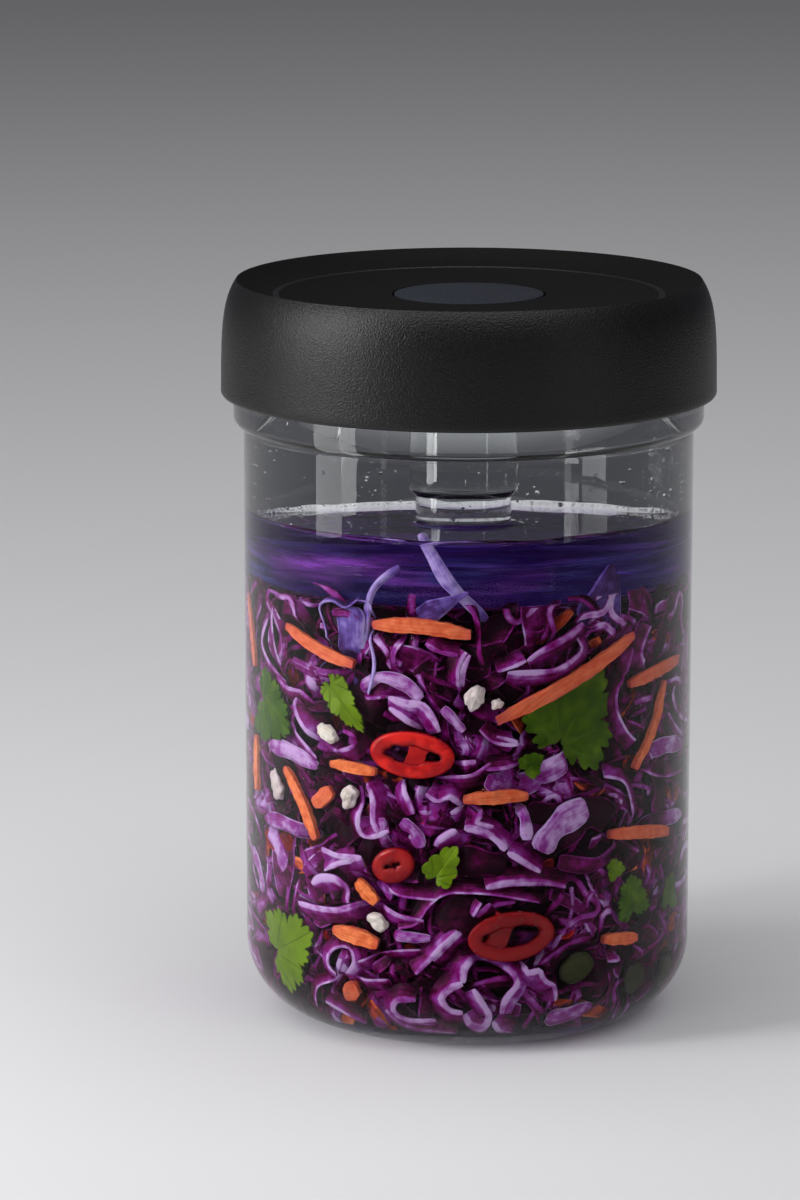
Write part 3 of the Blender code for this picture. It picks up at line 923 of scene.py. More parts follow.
@dataclass
class PressWeight:
    """The clear glass weight: a broad disc, a narrow neck and a knob."""

    level: float
    centre_x: float = -0.0012
    disc_radius: float = 0.046
    disc_bottom: float = 0.1106
    disc_top: float = 0.1208
    neck_radius: float = 0.0116
    neck_top: float = 0.1345
    knob_radius: float = 0.0131
    knob_top: float = 0.160
    knob_round: float = 0.005
    disc_round: float = 0.0016
    cove: float = 0.004
    sides: int = 96

    def profile(self) -> Profile:
        """The weight's section, from the top of the knob to the middle of its underside."""
        knob = (self.knob_radius - self.knob_round, self.knob_top - self.knob_round)
        cove = (self.neck_radius + self.cove, self.disc_top + 0.0008 + self.cove)
        rim = self.disc_radius - self.disc_round
        return (
            [(0.0, self.knob_top)]
            + arc(knob, self.knob_round, 88, 0, 8)
            + [(self.knob_radius, self.neck_top + 0.003)]
            + arc((self.knob_radius - 0.001, self.neck_top + 0.001), 0.001, 0, -60, 3)
            + [(self.neck_radius, self.neck_top - 0.001)]
            + arc(cove, self.cove, 180, 262, 8)
            + arc((rim, self.disc_top - self.disc_round), self.disc_round, 90, 0, 5)
            + arc((rim, self.disc_bottom + self.disc_round), self.disc_round, 0, -90, 5)
            + [(0.0, self.disc_bottom)]
        )

    def build(self) -> bpy.types.Object:
        """Builds the weight."""
        bm = spun(self.profile(), self.sides)
        bmesh.ops.translate(bm, verts=bm.verts, vec=(self.centre_x, 0.0, 0.0))
        finish = SunkenGlass("weight glass", self.level).material()
        return add_piece("press_weight", bm, [finish], ["glass_weight"])


@dataclass
class Cap:
    """The black cap with its sunken top, and the slate disc in the middle of it."""

    radius: float
    top: float = 0.182
    bottom: float = 0.154
    crest_radius: float = 0.0566
    ease: float = 0.0055
    floor: float = 0.1783
    floor_radius: float = 0.0468
    wall_inside: float = 0.058
    underside: float = 0.1752
    valve_radius: float = 0.0182
    valve_gap: float = 0.0005
    pocket: float = 0.0016
    edge_round: float = 0.0010
    slope_power: float = 1.7
    sides: int = 160

    def side(self, depth: float) -> float:
        """Radius of the side at a depth below the crest."""
        return self.radius - (self.radius - self.crest_radius) * math.exp(-depth / self.ease)

    def profile(self) -> Profile:
        """The cap's section, from the middle of its top to the middle of its underside."""
        pocket = self.valve_radius + self.valve_gap
        run = self.crest_radius - 0.0004 - self.floor_radius
        rise = self.top - 0.0002 - self.floor
        shares = [k / 10 for k in range(11)]
        slope = [
            (self.floor_radius + run * share, self.floor + rise * share**self.slope_power) for share in shares
        ]
        depths = [0.0002, 0.0006, 0.0012, 0.002, 0.003, 0.0045, 0.006, 0.008, 0.011, 0.015, 0.020, 0.0255]
        edge = (self.radius - self.edge_round, self.bottom + self.edge_round)
        return (
            [(0.0, self.floor - self.pocket), (pocket, self.floor - self.pocket)]
            + [(pocket, self.floor - 0.0002), (pocket + 0.0002, self.floor)]
            + [(self.floor_radius - 0.0006, self.floor), (self.floor_radius - 0.0003, self.floor + 0.00025)]
            + slope[1:]
            + [(self.crest_radius, self.top)]
            + [(self.side(depth), self.top - depth) for depth in depths]
            + arc(edge, self.edge_round, 0, -90, 4)
            + [(self.wall_inside, self.bottom), (self.wall_inside, self.underside), (0.0, self.underside)]
        )

    def is_matte(self, place: Vector) -> bool:
        """True for a point on the sunken top, but not for the fine ring at the edge of its floor."""
        out = math.hypot(place.x, place.y)
        on_ring = abs(out - self.floor_radius) < 0.0009
        return place.z > self.floor - 0.0005 and out < self.crest_radius - 0.0002 and not on_ring

    def valve_profile(self) -> Profile:
        """The valve disc's section."""
        top = self.floor + 0.0001
        return [
            (0.0, top + 0.0002),
            (self.valve_radius * 0.6, top + 0.0001),
            (self.valve_radius - 0.0004, top),
            (self.valve_radius - 0.0001, top - 0.0001),
            (self.valve_radius, top - 0.0004),
            (self.valve_radius, self.floor - self.pocket + 0.0003),
            (0.0, self.floor - self.pocket + 0.0003),
        ]

    def build(self) -> list[bpy.types.Object]:
        """Builds the cap and its disc."""
        black = Moulded("satin black plastic", (0.0036, 0.0036, 0.0038), 0.37, mirror=0.30).material()
        matte = Moulded("matte black plastic", (0.0038, 0.0038, 0.0036), 0.50, mirror=0.05).material()
        slate = Moulded("slate silicone", (0.016, 0.0175, 0.023), 0.55, mirror=0.06).material()
        bm = spun(self.profile(), self.sides)
        for face in bm.faces:
            face.material_index = int(self.is_matte(face.calc_center_median()))
        cap = add_piece("cap", bm, [black, matte], ["lid"])
        disc = add_piece("cap_valve", spun(self.valve_profile(), 96), [slate], ["valve_disc"])
        return [cap, disc]


class Lie(Enum):
    """Where a kind of shred lies."""

    WALL = "against the glass"
    TOP = "on top of the heap, under the weight"


class Face(Enum):
    """Which face of a shred is turned to the glass."""

    EDGE = "cut edge"
    BROAD = "broad face"


@dataclass(frozen=True)
class Cut:
    """One kind of shred: how many there are, their sizes, and how they bend and lie."""

    name: str
    count: int
    steps: int
    length: tuple[float, float]
    width: tuple[float, float]
    thickness: tuple[float, float]
    bend: float
    waves: tuple[float, float]
    twist: float
    edge_on: float
    depth: tuple[float, float]
    shade: tuple[float, float]
    heights: tuple[float, float] = (0.009, 0.1085)
    lie: Lie = Lie.WALL
    ruffle: float = 0.0


@dataclass(frozen=True)
class Strand:
    """A shred whose way along the glass was read from the photo, in degrees and millimetres."""

    face: Face
    width: float | tuple[float, ...]
    shade: float
    depth: float | tuple[float, ...]
    way: tuple[tuple[float, float], ...]
    reach: float = 2.8
    lean: float = 3.2
    thickness: float = 1.0


STRANDS = (
    Strand(Face.EDGE, 1.5, 0.80, 0.7, ((-51.3, 85.3), (-52.6, 83.2), (-50.5, 79.6), (-45.8, 76.3),
        (-40.1, 74.2), (-34.2, 73.0), (-31.7, 72.1))),
    Strand(Face.EDGE, 1.2, 0.65, 0.9, ((-54.8, 79.3), (-51.4, 76.4), (-46.6, 73.3), (-43.6, 71.5))),
    Strand(Face.BROAD, 3.9, 0.85, 0.8, ((-65.2, 70.9), (-57.7, 71.4), (-50.6, 70.6), (-43.7, 69.3))),
    Strand(Face.EDGE, 1.2, 0.75, 0.8, ((-40.8, 76.6), (-35.5, 78.8), (-31.1, 77.8), (-32.3, 75.7),
        (-37.4, 74.1))),
    Strand(Face.BROAD, 3.5, 0.80, 0.9, ((-29.8, 89.7), (-24.0, 93.4), (-16.8, 92.2), (-12.5, 88.6))),
    Strand(Face.EDGE, 2.0, 0.95, 0.7, ((-21.2, 89.0), (-16.2, 87.9), (-12.0, 87.6), (-8.8, 84.3), (-7.2,
        81.0))),
    Strand(Face.EDGE, 1.7, 0.90, 0.8, ((-21.2, 86.1), (-17.3, 83.9), (-12.5, 81.0))),
    Strand(Face.BROAD, 2.5, 0.75, 0.8, ((-6.7, 86.8), (-4.1, 84.5), (-1.0, 81.3))),
    Strand(Face.EDGE, 1.5, 0.60, 0.8, ((-11.4, 102.2), (-7.8, 100.4), (-2.6, 99.5))),
    Strand(Face.EDGE, 1.5, 0.75, 0.8, ((-0.2, 100.5), (-2.3, 96.1), (-2.0, 90.8))),
    Strand(Face.EDGE, 1.7, 0.85, 0.7, ((-30.5, 66.1), (-29.3, 62.8), (-29.9, 57.3), (-28.7, 54.0))),
    Strand(Face.EDGE, 1.7, 0.80, 0.7, ((-28.1, 67.1), (-26.0, 63.7), (-25.8, 57.8), (-23.5, 54.1))),
    Strand(Face.EDGE, 1.7, 0.85, 0.8, ((-17.3, 68.8), (-16.2, 65.4), (-14.1, 60.7))),
    Strand(Face.EDGE, 1.0, 0.75, 0.6, ((-9.3, 69.5), (-4.6, 70.3), (1.2, 70.9), (5.8, 73.8))),
    Strand(Face.BROAD, 6.4, 0.20, 1.0, ((-61.3, 68.7), (-58.7, 62.2), (-59.8, 55.0))),
    Strand(Face.EDGE, 1.7, 0.80, 0.7, ((-1.5, 91.3), (-1.0, 96.1), (0.8, 99.8))),
    Strand(Face.EDGE, 1.2, 0.70, 0.8, ((7.6, 95.6), (11.5, 96.4), (15.5, 97.9))),
    Strand(Face.EDGE, 1.5, 0.80, 0.7, ((10.4, 95.7), (18.5, 95.4), (24.1, 95.7), (29.0, 98.0), (31.0,
        99.9), (29.5, 102.5))),
    Strand(Face.EDGE, 2.0, 0.75, 0.8, ((15.5, 98.2), (18.5, 100.0), (23.2, 101.8), (28.3, 104.1), (31.6,
        106.2))),
    Strand(Face.EDGE, 1.0, 0.60, 0.8, ((49.5, 98.2), (46.5, 92.2), (43.3, 88.3), (43.3, 83.6), (46.7,
        78.2), (50.3, 75.2))),
    Strand(Face.EDGE, 1.0, 0.75, 0.7, ((66.3, 84.0), (61.8, 78.4), (58.8, 74.2), (58.0, 69.1))),
    Strand(Face.EDGE, 1.0, 0.75, 0.7, ((38.4, 67.6), (45.0, 65.6), (47.8, 61.2), (49.4, 55.7))),
    Strand(Face.EDGE, 1.0, 0.75, 0.6, ((2.9, 81.6), (6.3, 78.6), (12.1, 77.5), (13.2, 78.6), (7.6,
        80.3))),
    Strand(Face.BROAD, 5.4, 0.88, 0.7, ((4.8, 69.4), (11.1, 67.5), (16.5, 68.0), (22.5, 71.0), (30.1,
        73.2), (39.0, 72.4))),
    Strand(Face.EDGE, 1.5, 0.95, 0.7, ((-3.8, 73.5), (2.2, 74.1))),
    Strand(Face.EDGE, 1.2, 0.70, 0.7, ((4.8, 71.8), (9.2, 72.0), (15.1, 72.9))),
    Strand(Face.BROAD, 7.4, 0.12, 1.6, ((16.2, 61.1), (28.1, 59.2), (37.1, 59.1), (42.7, 55.3))),
    Strand(Face.BROAD, 7.4, 0.98, 0.6, ((19.9, 51.1), (22.1, 54.8), (26.7, 58.4), (33.3, 60.6))),
    Strand(Face.BROAD, 3.2, 0.98, 0.7, ((13.5, 62.8), (15.4, 59.7), (16.0, 54.3))),
    Strand(Face.BROAD, 3.5, 0.80, 0.8, ((54.1, 51.9), (62.5, 52.8), (76.9, 51.7))),
    Strand(Face.EDGE, 1.7, 0.75, 0.6, ((-50.8, 34.4), (-43.5, 34.3), (-36.6, 34.9), (-29.0, 37.4),
        (-22.6, 37.1), (-17.9, 35.5), (-11.4, 34.7))),
    Strand(Face.EDGE, 1.0, 0.55, 0.8, ((-24.3, 44.1), (-18.4, 43.4), (-13.0, 43.8))),
    Strand(Face.EDGE, 0.7, 0.60, 0.7, ((-22.6, 42.1), (-18.4, 40.2), (-13.0, 39.8), (-7.9, 39.6))),
    Strand(Face.BROAD, 10.4, 0.12, 1.5, ((-7.1, 32.4), (-0.3, 36.0), (8.6, 36.9), (19.4, 34.8))),
    Strand(Face.EDGE, 0.7, 0.60, 0.7, ((-18.4, 32.0), (-13.5, 33.4), (-10.0, 38.0), (-6.1, 40.9), (-0.8,
        41.5), (7.5, 40.9), (19.4, 38.5))),
    Strand(Face.EDGE, 1.5, 0.78, 0.6, ((-13.5, 21.0), (-8.4, 26.2), (-3.7, 30.6), (0.2, 33.8), (3.9,
        39.2))),
    Strand(Face.EDGE, 1.2, 0.62, 0.7, ((2.6, 35.8), (7.6, 38.2), (12.9, 38.9))),
    Strand(Face.EDGE, 1.2, 0.75, 0.6, ((-37.3, 18.8), (-39.3, 20.2), (-39.6, 22.4), (-37.6, 24.7),
        (-34.7, 25.4), (-32.1, 24.3), (-31.8, 21.9), (-34.0, 19.5))),
    Strand(Face.EDGE, 0.7, 0.65, 0.7, ((-36.6, 18.9), (-38.0, 16.7), (-44.3, 14.1), (-47.7, 9.4))),
    Strand(Face.EDGE, 0.7, 0.60, 0.7, ((-34.0, 19.3), (-28.5, 18.6), (-20.9, 19.4))),
    Strand(Face.EDGE, 0.7, 0.50, 0.8, ((-30.3, 22.8), (-21.5, 26.3), (-12.4, 27.5))),
    Strand(Face.BROAD, 2.7, 0.75, 0.8, ((-20.1, 30.4), (-15.1, 30.1), (-9.8, 30.1))),
    Strand(Face.EDGE, 1.7, 0.80, 0.6, ((-13.8, 14.5), (-19.0, 14.1), (-20.4, 11.5), (-17.0, 9.8), (-8.9,
        10.3))),
    Strand(Face.EDGE, 1.7, 0.62, 0.7, ((-23.2, 11.4), (-18.4, 7.9), (-9.5, 6.3), (-3.1, 6.0))),
    Strand(Face.EDGE, 2.2, 0.92, 0.5, ((-0.8, 19.4), (-0.3, 23.2), (2.1, 25.2), (6.6, 24.6), (11.1,
        22.2), (13.0, 18.9), (10.1, 15.3), (9.3, 11.6))),
    Strand(Face.EDGE, 2.2, 0.88, 0.5, ((-1.0, 18.9), (-4.2, 17.9), (-6.6, 15.4), (-4.4, 12.7), (-1.0,
        12.2))),
    Strand(Face.EDGE, 2.2, 0.90, 0.5, ((-0.8, 11.7), (0.8, 9.0), (4.8, 8.0), (6.4, 11.2), (4.0, 15.0),
        (1.9, 18.0))),
    Strand(Face.EDGE, 1.7, 0.75, 0.6, ((7.2, 9.7), (9.6, 7.1), (14.1, 5.8))),
    Strand(Face.EDGE, 1.2, 0.65, 0.7, ((-43.2, 11.0), (-37.3, 9.0), (-31.6, 7.6))),
    Strand(Face.BROAD, 7.4, 0.10, 1.2, ((-5.6, 49.3), (1.7, 49.3), (10.2, 48.2))),
    Strand(Face.EDGE, 2.0, 0.72, 0.7, ((4.9, 42.7), (10.4, 43.7), (19.9, 43.4), (26.8, 41.6))),
    Strand(Face.EDGE, 1.7, 0.90, 0.6, ((10.4, 51.4), (14.4, 49.0), (19.4, 45.9))),
    Strand(Face.EDGE, 2.0, 0.85, 0.7, ((-9.0, 53.1), (-6.4, 55.6), (-3.0, 57.4))),
    Strand(Face.EDGE, 2.2, 0.92, 0.6, ((-0.9, 57.7), (4.6, 56.4), (7.5, 54.4), (9.9, 51.9))),
    Strand(Face.EDGE, 1.7, 0.85, 0.6, ((-30.8, 58.2), (-29.6, 54.6), (-26.4, 53.8), (-20.9, 55.8))),
    Strand(Face.BROAD, 3.0, 0.80, 0.8, ((-23.5, 59.0), (-22.6, 53.2), (-21.2, 47.4))),
    Strand(Face.EDGE, 2.0, 0.80, 0.7, ((-42.3, 49.4), (-35.9, 48.4), (-29.0, 48.8))),
    Strand(Face.EDGE, 1.5, 0.75, 0.7, ((-40.9, 43.7), (-35.9, 46.2), (-31.2, 47.5))),
    Strand(Face.EDGE, 2.2, 0.85, 0.6, ((-45.7, 40.1), (-42.4, 42.0), (-37.5, 42.5), (-34.0, 40.7),
        (-33.0, 36.9))),
    Strand(Face.EDGE, 1.2, 0.85, 0.6, ((-64.8, 102.3), (-68.7, 96.2), (-63.8, 91.6), (-55.6, 88.6))),
    Strand(Face.EDGE, 1.5, 0.70, 0.8, ((-62.6, 91.3), (-56.6, 87.4), (-49.6, 87.1), (-45.0, 84.8))),
    Strand(Face.BROAD, 3.0, 0.92, 0.7, ((-78.5, 42.3), (-72.7, 38.0), (-69.7, 32.7))),
    Strand(Face.EDGE, 1.2, 0.60, 0.8, ((-81.6, 26.2), (-69.9, 24.0), (-65.9, 19.8))),
    Strand(Face.EDGE, 1.7, 0.90, 0.5, ((11.9, 23.4), (15.1, 23.7), (16.2, 21.7), (19.5, 21.9), (21.2,
        19.3), (24.1, 17.5), (24.7, 13.9))),
    Strand(Face.EDGE, 1.0, 0.70, 0.6, ((33.6, 25.3), (37.5, 25.8), (42.3, 24.0), (44.6, 21.1), (40.3,
        21.3))),
    Strand(Face.BROAD, 3.5, 0.70, 0.7, ((23.3, 9.6), (29.8, 9.9), (37.0, 11.3))),
    Strand(Face.EDGE, 1.5, 0.60, 0.7, ((6.0, 39.2), (0.7, 34.6), (-5.0, 29.0), (-9.2, 24.9))),
    Strand(Face.EDGE, 1.5, 0.60, 0.8, ((37.3, 45.2), (43.6, 41.3), (45.1, 37.0), (49.8, 33.2))),
    Strand(Face.EDGE, 1.0, 0.55, 0.8, ((51.7, 68.8), (57.1, 65.3), (65.7, 63.2), (76.4, 62.4))),
    Strand(Face.EDGE, 1.2, 0.60, 0.8, ((34.6, 53.0), (39.2, 53.4), (46.4, 51.3), (52.0, 47.3))),
    Strand(Face.BROAD, 3.9, 0.45, 1.0, ((25.0, 48.2), (34.1, 46.2), (42.8, 46.9))),
    Strand(Face.EDGE, 1.7, 0.85, 0.6, ((-11.1, 65.7), (-8.0, 63.9), (-4.6, 65.0), (-1.9, 63.1), (1.7,
        64.5))),
    Strand(Face.EDGE, 1.7, 0.92, 0.6, ((-4.6, 61.5), (0.1, 63.1), (3.8, 61.6), (2.8, 59.2), (6.9,
        58.1))),
    Strand(Face.BROAD, 3.5, 0.80, 0.8, ((-17.9, 58.5), (-14.1, 56.3), (-12.5, 52.4))),
)
RISING_STRANDS = (
    Strand(
        Face.BROAD, (2.2, 3.0, 3.6, 3.6, 3.0), 0.95, (3.0, 1.6, 1.0, 1.2, 2.4),
        ((-13.5, 128.5), (-10.0, 124.0), (-5.5, 117.5), (1.5, 111.0), (5.0, 108.0)),
    ),
    Strand(
        Face.BROAD, (2.4, 1.8, 1.5, 1.9), 0.85, (1.6, 1.2, 1.0, 1.2),
        ((-28.5, 100.0), (-28.0, 108.0), (-25.5, 115.0), (-18.5, 120.6)),
    ),
    Strand(
        Face.BROAD, (14.0, 10.0, 2.0), 0.45, (2.0, 1.2, 1.0),
        ((36.0, 104.0), (39.5, 112.0), (41.0, 119.5)),
    ),
    Strand(
        Face.BROAD, (3.0, 7.0, 10.0, 9.0), 0.72, (1.6, 1.1, 0.9, 1.0),
        ((-31.7, 87.0), (-32.3, 94.8), (-32.6, 102.5), (-32.9, 109.8)),
    ),
    Strand(
        Face.EDGE, (0.6, 0.8, 0.6), 0.75, 0.7,
        ((-42.8, 93.5), (-40.0, 102.2), (-42.4, 108.7), (-38.3, 110.6), (-33.8, 109.4), (-30.1, 111.7)),
        lean=1.0,
    ),
    Strand(
        Face.EDGE, (0.6, 0.9, 1.0), 0.70, 0.7,
        ((-30.1, 111.7), (-26.3, 110.9), (-26.6, 103.6), (-25.1, 96.4), (-26.9, 89.0)),
        lean=1.0,
    ),
    Strand(
        Face.BROAD, (0.6, 5.0, 1.0), 0.62, 0.5,
        ((-20.1, 105.6), (-10.4, 109.9), (-0.0, 114.9)),
    ),
)


class DepthMap:
    """How far shreds sink at each place on the wall, so that they pass behind what is already there."""

    cell = 0.0005

    def __init__(self) -> None:
        """Starts with nothing there."""
        self.columns = int(math.tau * WALL.radius / self.cell)
        self.rows = int(0.13 / self.cell)
        self.depths = np.zeros((self.columns, self.rows))

    def cover(self, piece: bpy.types.Object, spread: int, most: float = 0.02) -> None:
        """Marks where a piece lies, by points spread over its faces.

        Args:
            piece: The piece.
            spread: Cells by which its mark is widened and then softened.
            most: The deepest that it counts.
        """
        mesh = piece.data
        places = np.array([vert.co for vert in mesh.vertices])
        corners = places[np.array([(*face.vertices, face.vertices[0])[:4] for face in mesh.polygons])]
        depths = np.zeros_like(self.depths)
        for first, second in [(i / 6, j / 6) for i in range(7) for j in range(7)]:
            near = corners[:, 0] * (1 - first) + corners[:, 1] * first
            far = corners[:, 3] * (1 - first) + corners[:, 2] * first
            points = near * (1 - second) + far * second
            turns = np.arctan2(points[:, 0], -points[:, 1])
            walls = np.array([WALL.radius_at(height) for height in points[:, 2]])
            inwards = walls - np.hypot(points[:, 0], points[:, 1])
            columns = (turns * WALL.radius / self.cell).astype(int) % self.columns
            rows = np.clip((points[:, 2] / self.cell).astype(int), 0, self.rows - 1)
            np.maximum.at(depths, (columns, rows), np.minimum(inwards, most))
        self.depths = np.maximum(self.depths, self.softened(depths, spread))

    @staticmethod
    def softened(depths: np.ndarray, spread: int) -> np.ndarray:
        """A map with each depth carried a few cells outwards, and then averaged over as many."""
        steps = range(-spread, spread + 1)
        for axis in (0, 1):
            depths = np.max([np.roll(depths, step, axis) for step in steps], 0)
        for axis in (0, 1):
            depths = np.mean([np.roll(depths, step, axis) for step in steps], 0)
        return depths

    def at(self, turn: float, height: float) -> float:
        """How far a shred sinks at a place, given its azimuth in radians and its height."""
        column = int(turn * WALL.radius / self.cell) % self.columns
        row = min(max(int(height / self.cell), 0), self.rows - 1)
        return float(self.depths[column, row])


@dataclass
class CabbageHeap:
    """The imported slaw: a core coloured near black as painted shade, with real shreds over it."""

    depths: DepthMap
    seed: int = 4
    core_radius: float = 0.0430
    core_bottom: float = 0.0068
    core_top: float = 0.1078
    relief: float = 0.0016
    core_sides: int = 160
    disc_edge: float = 0.0052
    # How deep a shred must lie before its painted shade builds up.
    painted_shade_depth: float = 0.0030
    strand_turns: tuple[float, ...] = (0.0, 121.0, 238.0)
    cuts: tuple[Cut, ...] = (
        Cut(
            "cabbage_leaf_pieces", 300, 14, (0.016, 0.034), (0.0060, 0.0120), (0.0007, 0.0012), 110.0,
            (0.5, 1.5), 30.0, 0.12, (0.0014, 0.0060), (0.0, 0.65), ruffle=0.0010,
        ),
        Cut(
            "cabbage_shreds", 420, 20, (0.024, 0.052), (0.0028, 0.0048), (0.0010, 0.0020), 150.0, (0.6, 1.8),
            45.0, 0.5, (0.0010, 0.0058), (0.05, 0.85),
        ),
        Cut(
            "cabbage_curls", 130, 18, (0.014, 0.030), (0.0022, 0.0034), (0.0010, 0.0017), 380.0, (0.8, 1.8),
            50.0, 0.85, (0.0008, 0.0038), (0.2, 0.9),
        ),
        Cut(
            "cabbage_folds", 50, 30, (0.034, 0.056), (0.0034, 0.0050), (0.0013, 0.0020), 520.0, (2.5, 4.5),
            8.0, 1.0, (0.0008, 0.0030), (0.3, 0.9),
        ),
        Cut(
            "cabbage_ribs", 90, 12, (0.009, 0.018), (0.0030, 0.0044), (0.0034, 0.0064), 60.0, (0.4, 1.0),
            20.0, 1.0, (0.0010, 0.0034), (0.5, 1.0), (0.010, 0.1040),
        ),
        Cut(
            "cabbage_top_shreds", 260, 14, (0.018, 0.040), (0.0022, 0.0040), (0.0008, 0.0016), 160.0,
            (0.8, 2.0), 20.0, 0.3, (0.0, 0.0012), (0.0, 0.8), (0.0, 1.0), lie=Lie.TOP,
        ),
    )

    buried_carrot: Cut = Cut(
        "buried_carrot", 66, 14, (0.008, 0.020), (0.0028, 0.0040), (0.0018, 0.0026), 40.0, (0.3, 0.9), 12.0, 0.1,
        (0.0014, 0.0036), (0.45, 1.0), (0.010, 0.1040),
    )
    buried_chili: Cut = Cut(
        "buried_chili", 40, 12, (0.005, 0.010), (0.0034, 0.0060), (0.0014, 0.0020), 120.0, (0.3, 0.9), 12.0, 0.2,
        (0.0012, 0.0032), (0.55, 1.0), (0.010, 0.1040),
    )

    def core(self) -> bpy.types.Object:
        """Builds the core, whose relief stands for what lies behind the shreds."""
        corner = WALL.corner - (WALL.radius - self.core_radius) * 0.6
        rounded = (self.core_radius - corner, self.core_bottom + corner)
        wall = [(self.core_radius, self.core_top - 0.004 - 0.002 * k) for k in range(42)]
        profile = (
            [(0.0, self.core_top), (0.012, self.core_top), (0.024, self.core_top), (0.034, self.core_top)]
            + arc((self.core_radius - 0.004, self.core_top - 0.004), 0.004, 90, 0, 3)[:-1]
            + wall
            + arc(rounded, corner, 0, -90, 6)
            + [(0.020, self.core_bottom), (0.0, self.core_bottom)]
        )
        bm = spun(profile, self.core_sides)
        for vert in bm.verts:
            outwards = Vector((vert.co.x, vert.co.y, 0.0)).normalized()
            cell = Vector((vert.co.x, vert.co.y, vert.co.z * 1.6)) / 0.005
            vert.co += outwards * self.relief * noise.noise(cell)
        finish = SlawCoreInPaintedShade("slaw core in painted shade").material()
        return add_piece("slaw_core", bm, [finish], ["cabbage_slaw"], 180.0)

    def add_section(
        self, bm: bmesh.types.BMesh, steps: int, section: tuple, size: tuple[float, float],
        place: Callable[[float, float, float], tuple[Vector, float]], shade: float,
    ) -> None:
        """Adds a closed strip, whose ends are drawn together.

        Args:
            bm: The mesh that takes it.
            steps: Its segments along its length.
            section: Its section.
            size: Its length and width.
            place: Gives a point, and its depth, from the shares along, across and through the strip.
            shade: How pale the shred is, from 0 to 1.
        """
        layers = [bm.verts.layers.float[name] for name in SHRED_LAYERS]
        sides = len(section) - 1
        start = 400 * shade
        grid = bmesh.ops.create_grid(bm, x_segments=steps, y_segments=sides, size=0.5)
        for vert in grid["verts"]:
            step = round((vert.co.x + 0.5) * steps)
            across, through = section[round((vert.co.y + 0.5) * sides)]
            share = min(max((step - 0.9) / (steps - 1.8), 0.0), 1.0)
            if step in (0, steps):
                across, through = 0.0, 0.0
            vert.co, depth = place(share, across, through)
            # Painted shade: a point is drawn darker the deeper it lies behind the glass, which also darkens the gaps
            # round the toppings.
            painted_depth_shade = 1 - math.exp(-max(depth - 0.0008, 0.0) / self.painted_shade_depth)
            values = (shade, start + 1000 * share * size[0], 500 * across * size[1], through, painted_depth_shade)
            for layer, value in zip(layers, values):
                vert[layer] = value

    def shred(self, bm: bmesh.types.BMesh, cut: Cut, draw: random.Random) -> None:
        """Adds one shred that bends about its own width, and is pressed flat where it meets the glass.

        Args:
            bm: The mesh that takes it.
            cut: Its kind.
            draw: The seeded draw.
        """
        length = draw.uniform(*cut.length)
        width = draw.uniform(*cut.width)
        thickness = draw.uniform(*cut.thickness)
        heading = draw.gauss(0.0, 0.9) + (math.pi if draw.random() < 0.5 else 0.0)
        edge_on = draw.random() < cut.edge_on
        roll = math.radians(draw.gauss(62.0 if edge_on else 0.0, 18.0) * draw.choice((-1, 1)))
        waves = draw.uniform(*cut.waves)
        phase = draw.random()
        bend = cut.bend * draw.uniform(0.35, 1.0)
        drift = draw.uniform(-0.35, 0.35) * cut.bend
        twist = draw.uniform(-1.0, 1.0) * cut.twist
        shade = draw.uniform(*cut.shade)
        azimuth = draw.uniform(-180.0, 180.0)
        height = draw.uniform(*cut.heights)
        middle_depth = draw.uniform(*cut.depth)
        crown = 0.5 + noise.noise(Vector((math.sin(math.radians(azimuth)), math.cos(math.radians(azimuth)), 0.3)) * 2)
        highest = self.core_top + 0.0006 + 0.0030 * crown + min(abs(draw.gauss(0.0, 0.0020)), 0.006)
        tangent = Vector((math.cos(heading), 0.0, math.sin(heading)))
        beside = Vector((-math.sin(heading), 0.0, math.cos(heading)))
        across_way = beside * math.cos(roll) + Vector((0.0, 1.0, 0.0)) * math.sin(roll)
        stride = length / (cut.steps - 1)
        point = Vector()
        spine = []
        for step in range(cut.steps):
            spine.append((point.copy(), across_way.copy(), tangent.cross(across_way)))
            share = step / (cut.steps - 1)
            turn = (bend * math.sin(math.tau * (waves * share + phase)) + drift) * stride
            tangent.rotate(Quaternion(across_way, turn))
            across_way.rotate(Quaternion(tangent, twist * stride))
            point = point + tangent * stride
        middle = spine[cut.steps // 2][0]
        nearest, deepest = cut.depth
        room = deepest - nearest + 0.0014

        def place(share: float, across: float, through: float) -> tuple[Vector, float]:
            """A point of the shred in the jar's frame, and its depth."""
            centre, wide, thick = spine[round(share * (cut.steps - 1))]
            taper = 1.0 - 0.40 * abs(2 * share - 1) ** 4 + 0.12 * math.sin(9 * share + azimuth)
            lift = cut.ruffle * (across * math.sin(11 * share + azimuth) + 0.9 * across**2)
            flat = centre - middle + wide * (across * 0.5 * width * taper)
            flat += thick * (through * 0.5 * thickness + lift)
            depth = middle_depth + flat.y
            flat.y = nearest + room * (0.5 + 0.5 * math.tanh(2.0 * (depth - nearest) / room - 1.0))
            if cut.lie is Lie.TOP:
                return self.on_top(azimuth, height, flat), 0.002
            flat.z = min(flat.z, highest - height)
            flat.y += self.depths.at(math.radians(azimuth) + flat.x / WALL.radius, height + flat.z)
            if height + flat.z > self.core_top + 0.0014:
                flat.y = min(flat.y, self.disc_edge)
            return WALL.bend(azimuth, height, flat), flat.y

        section = LEAF_SECTION if cut.ruffle else STRIP_SECTION
        self.add_section(bm, cut.steps, section, (length, width), place, shade)

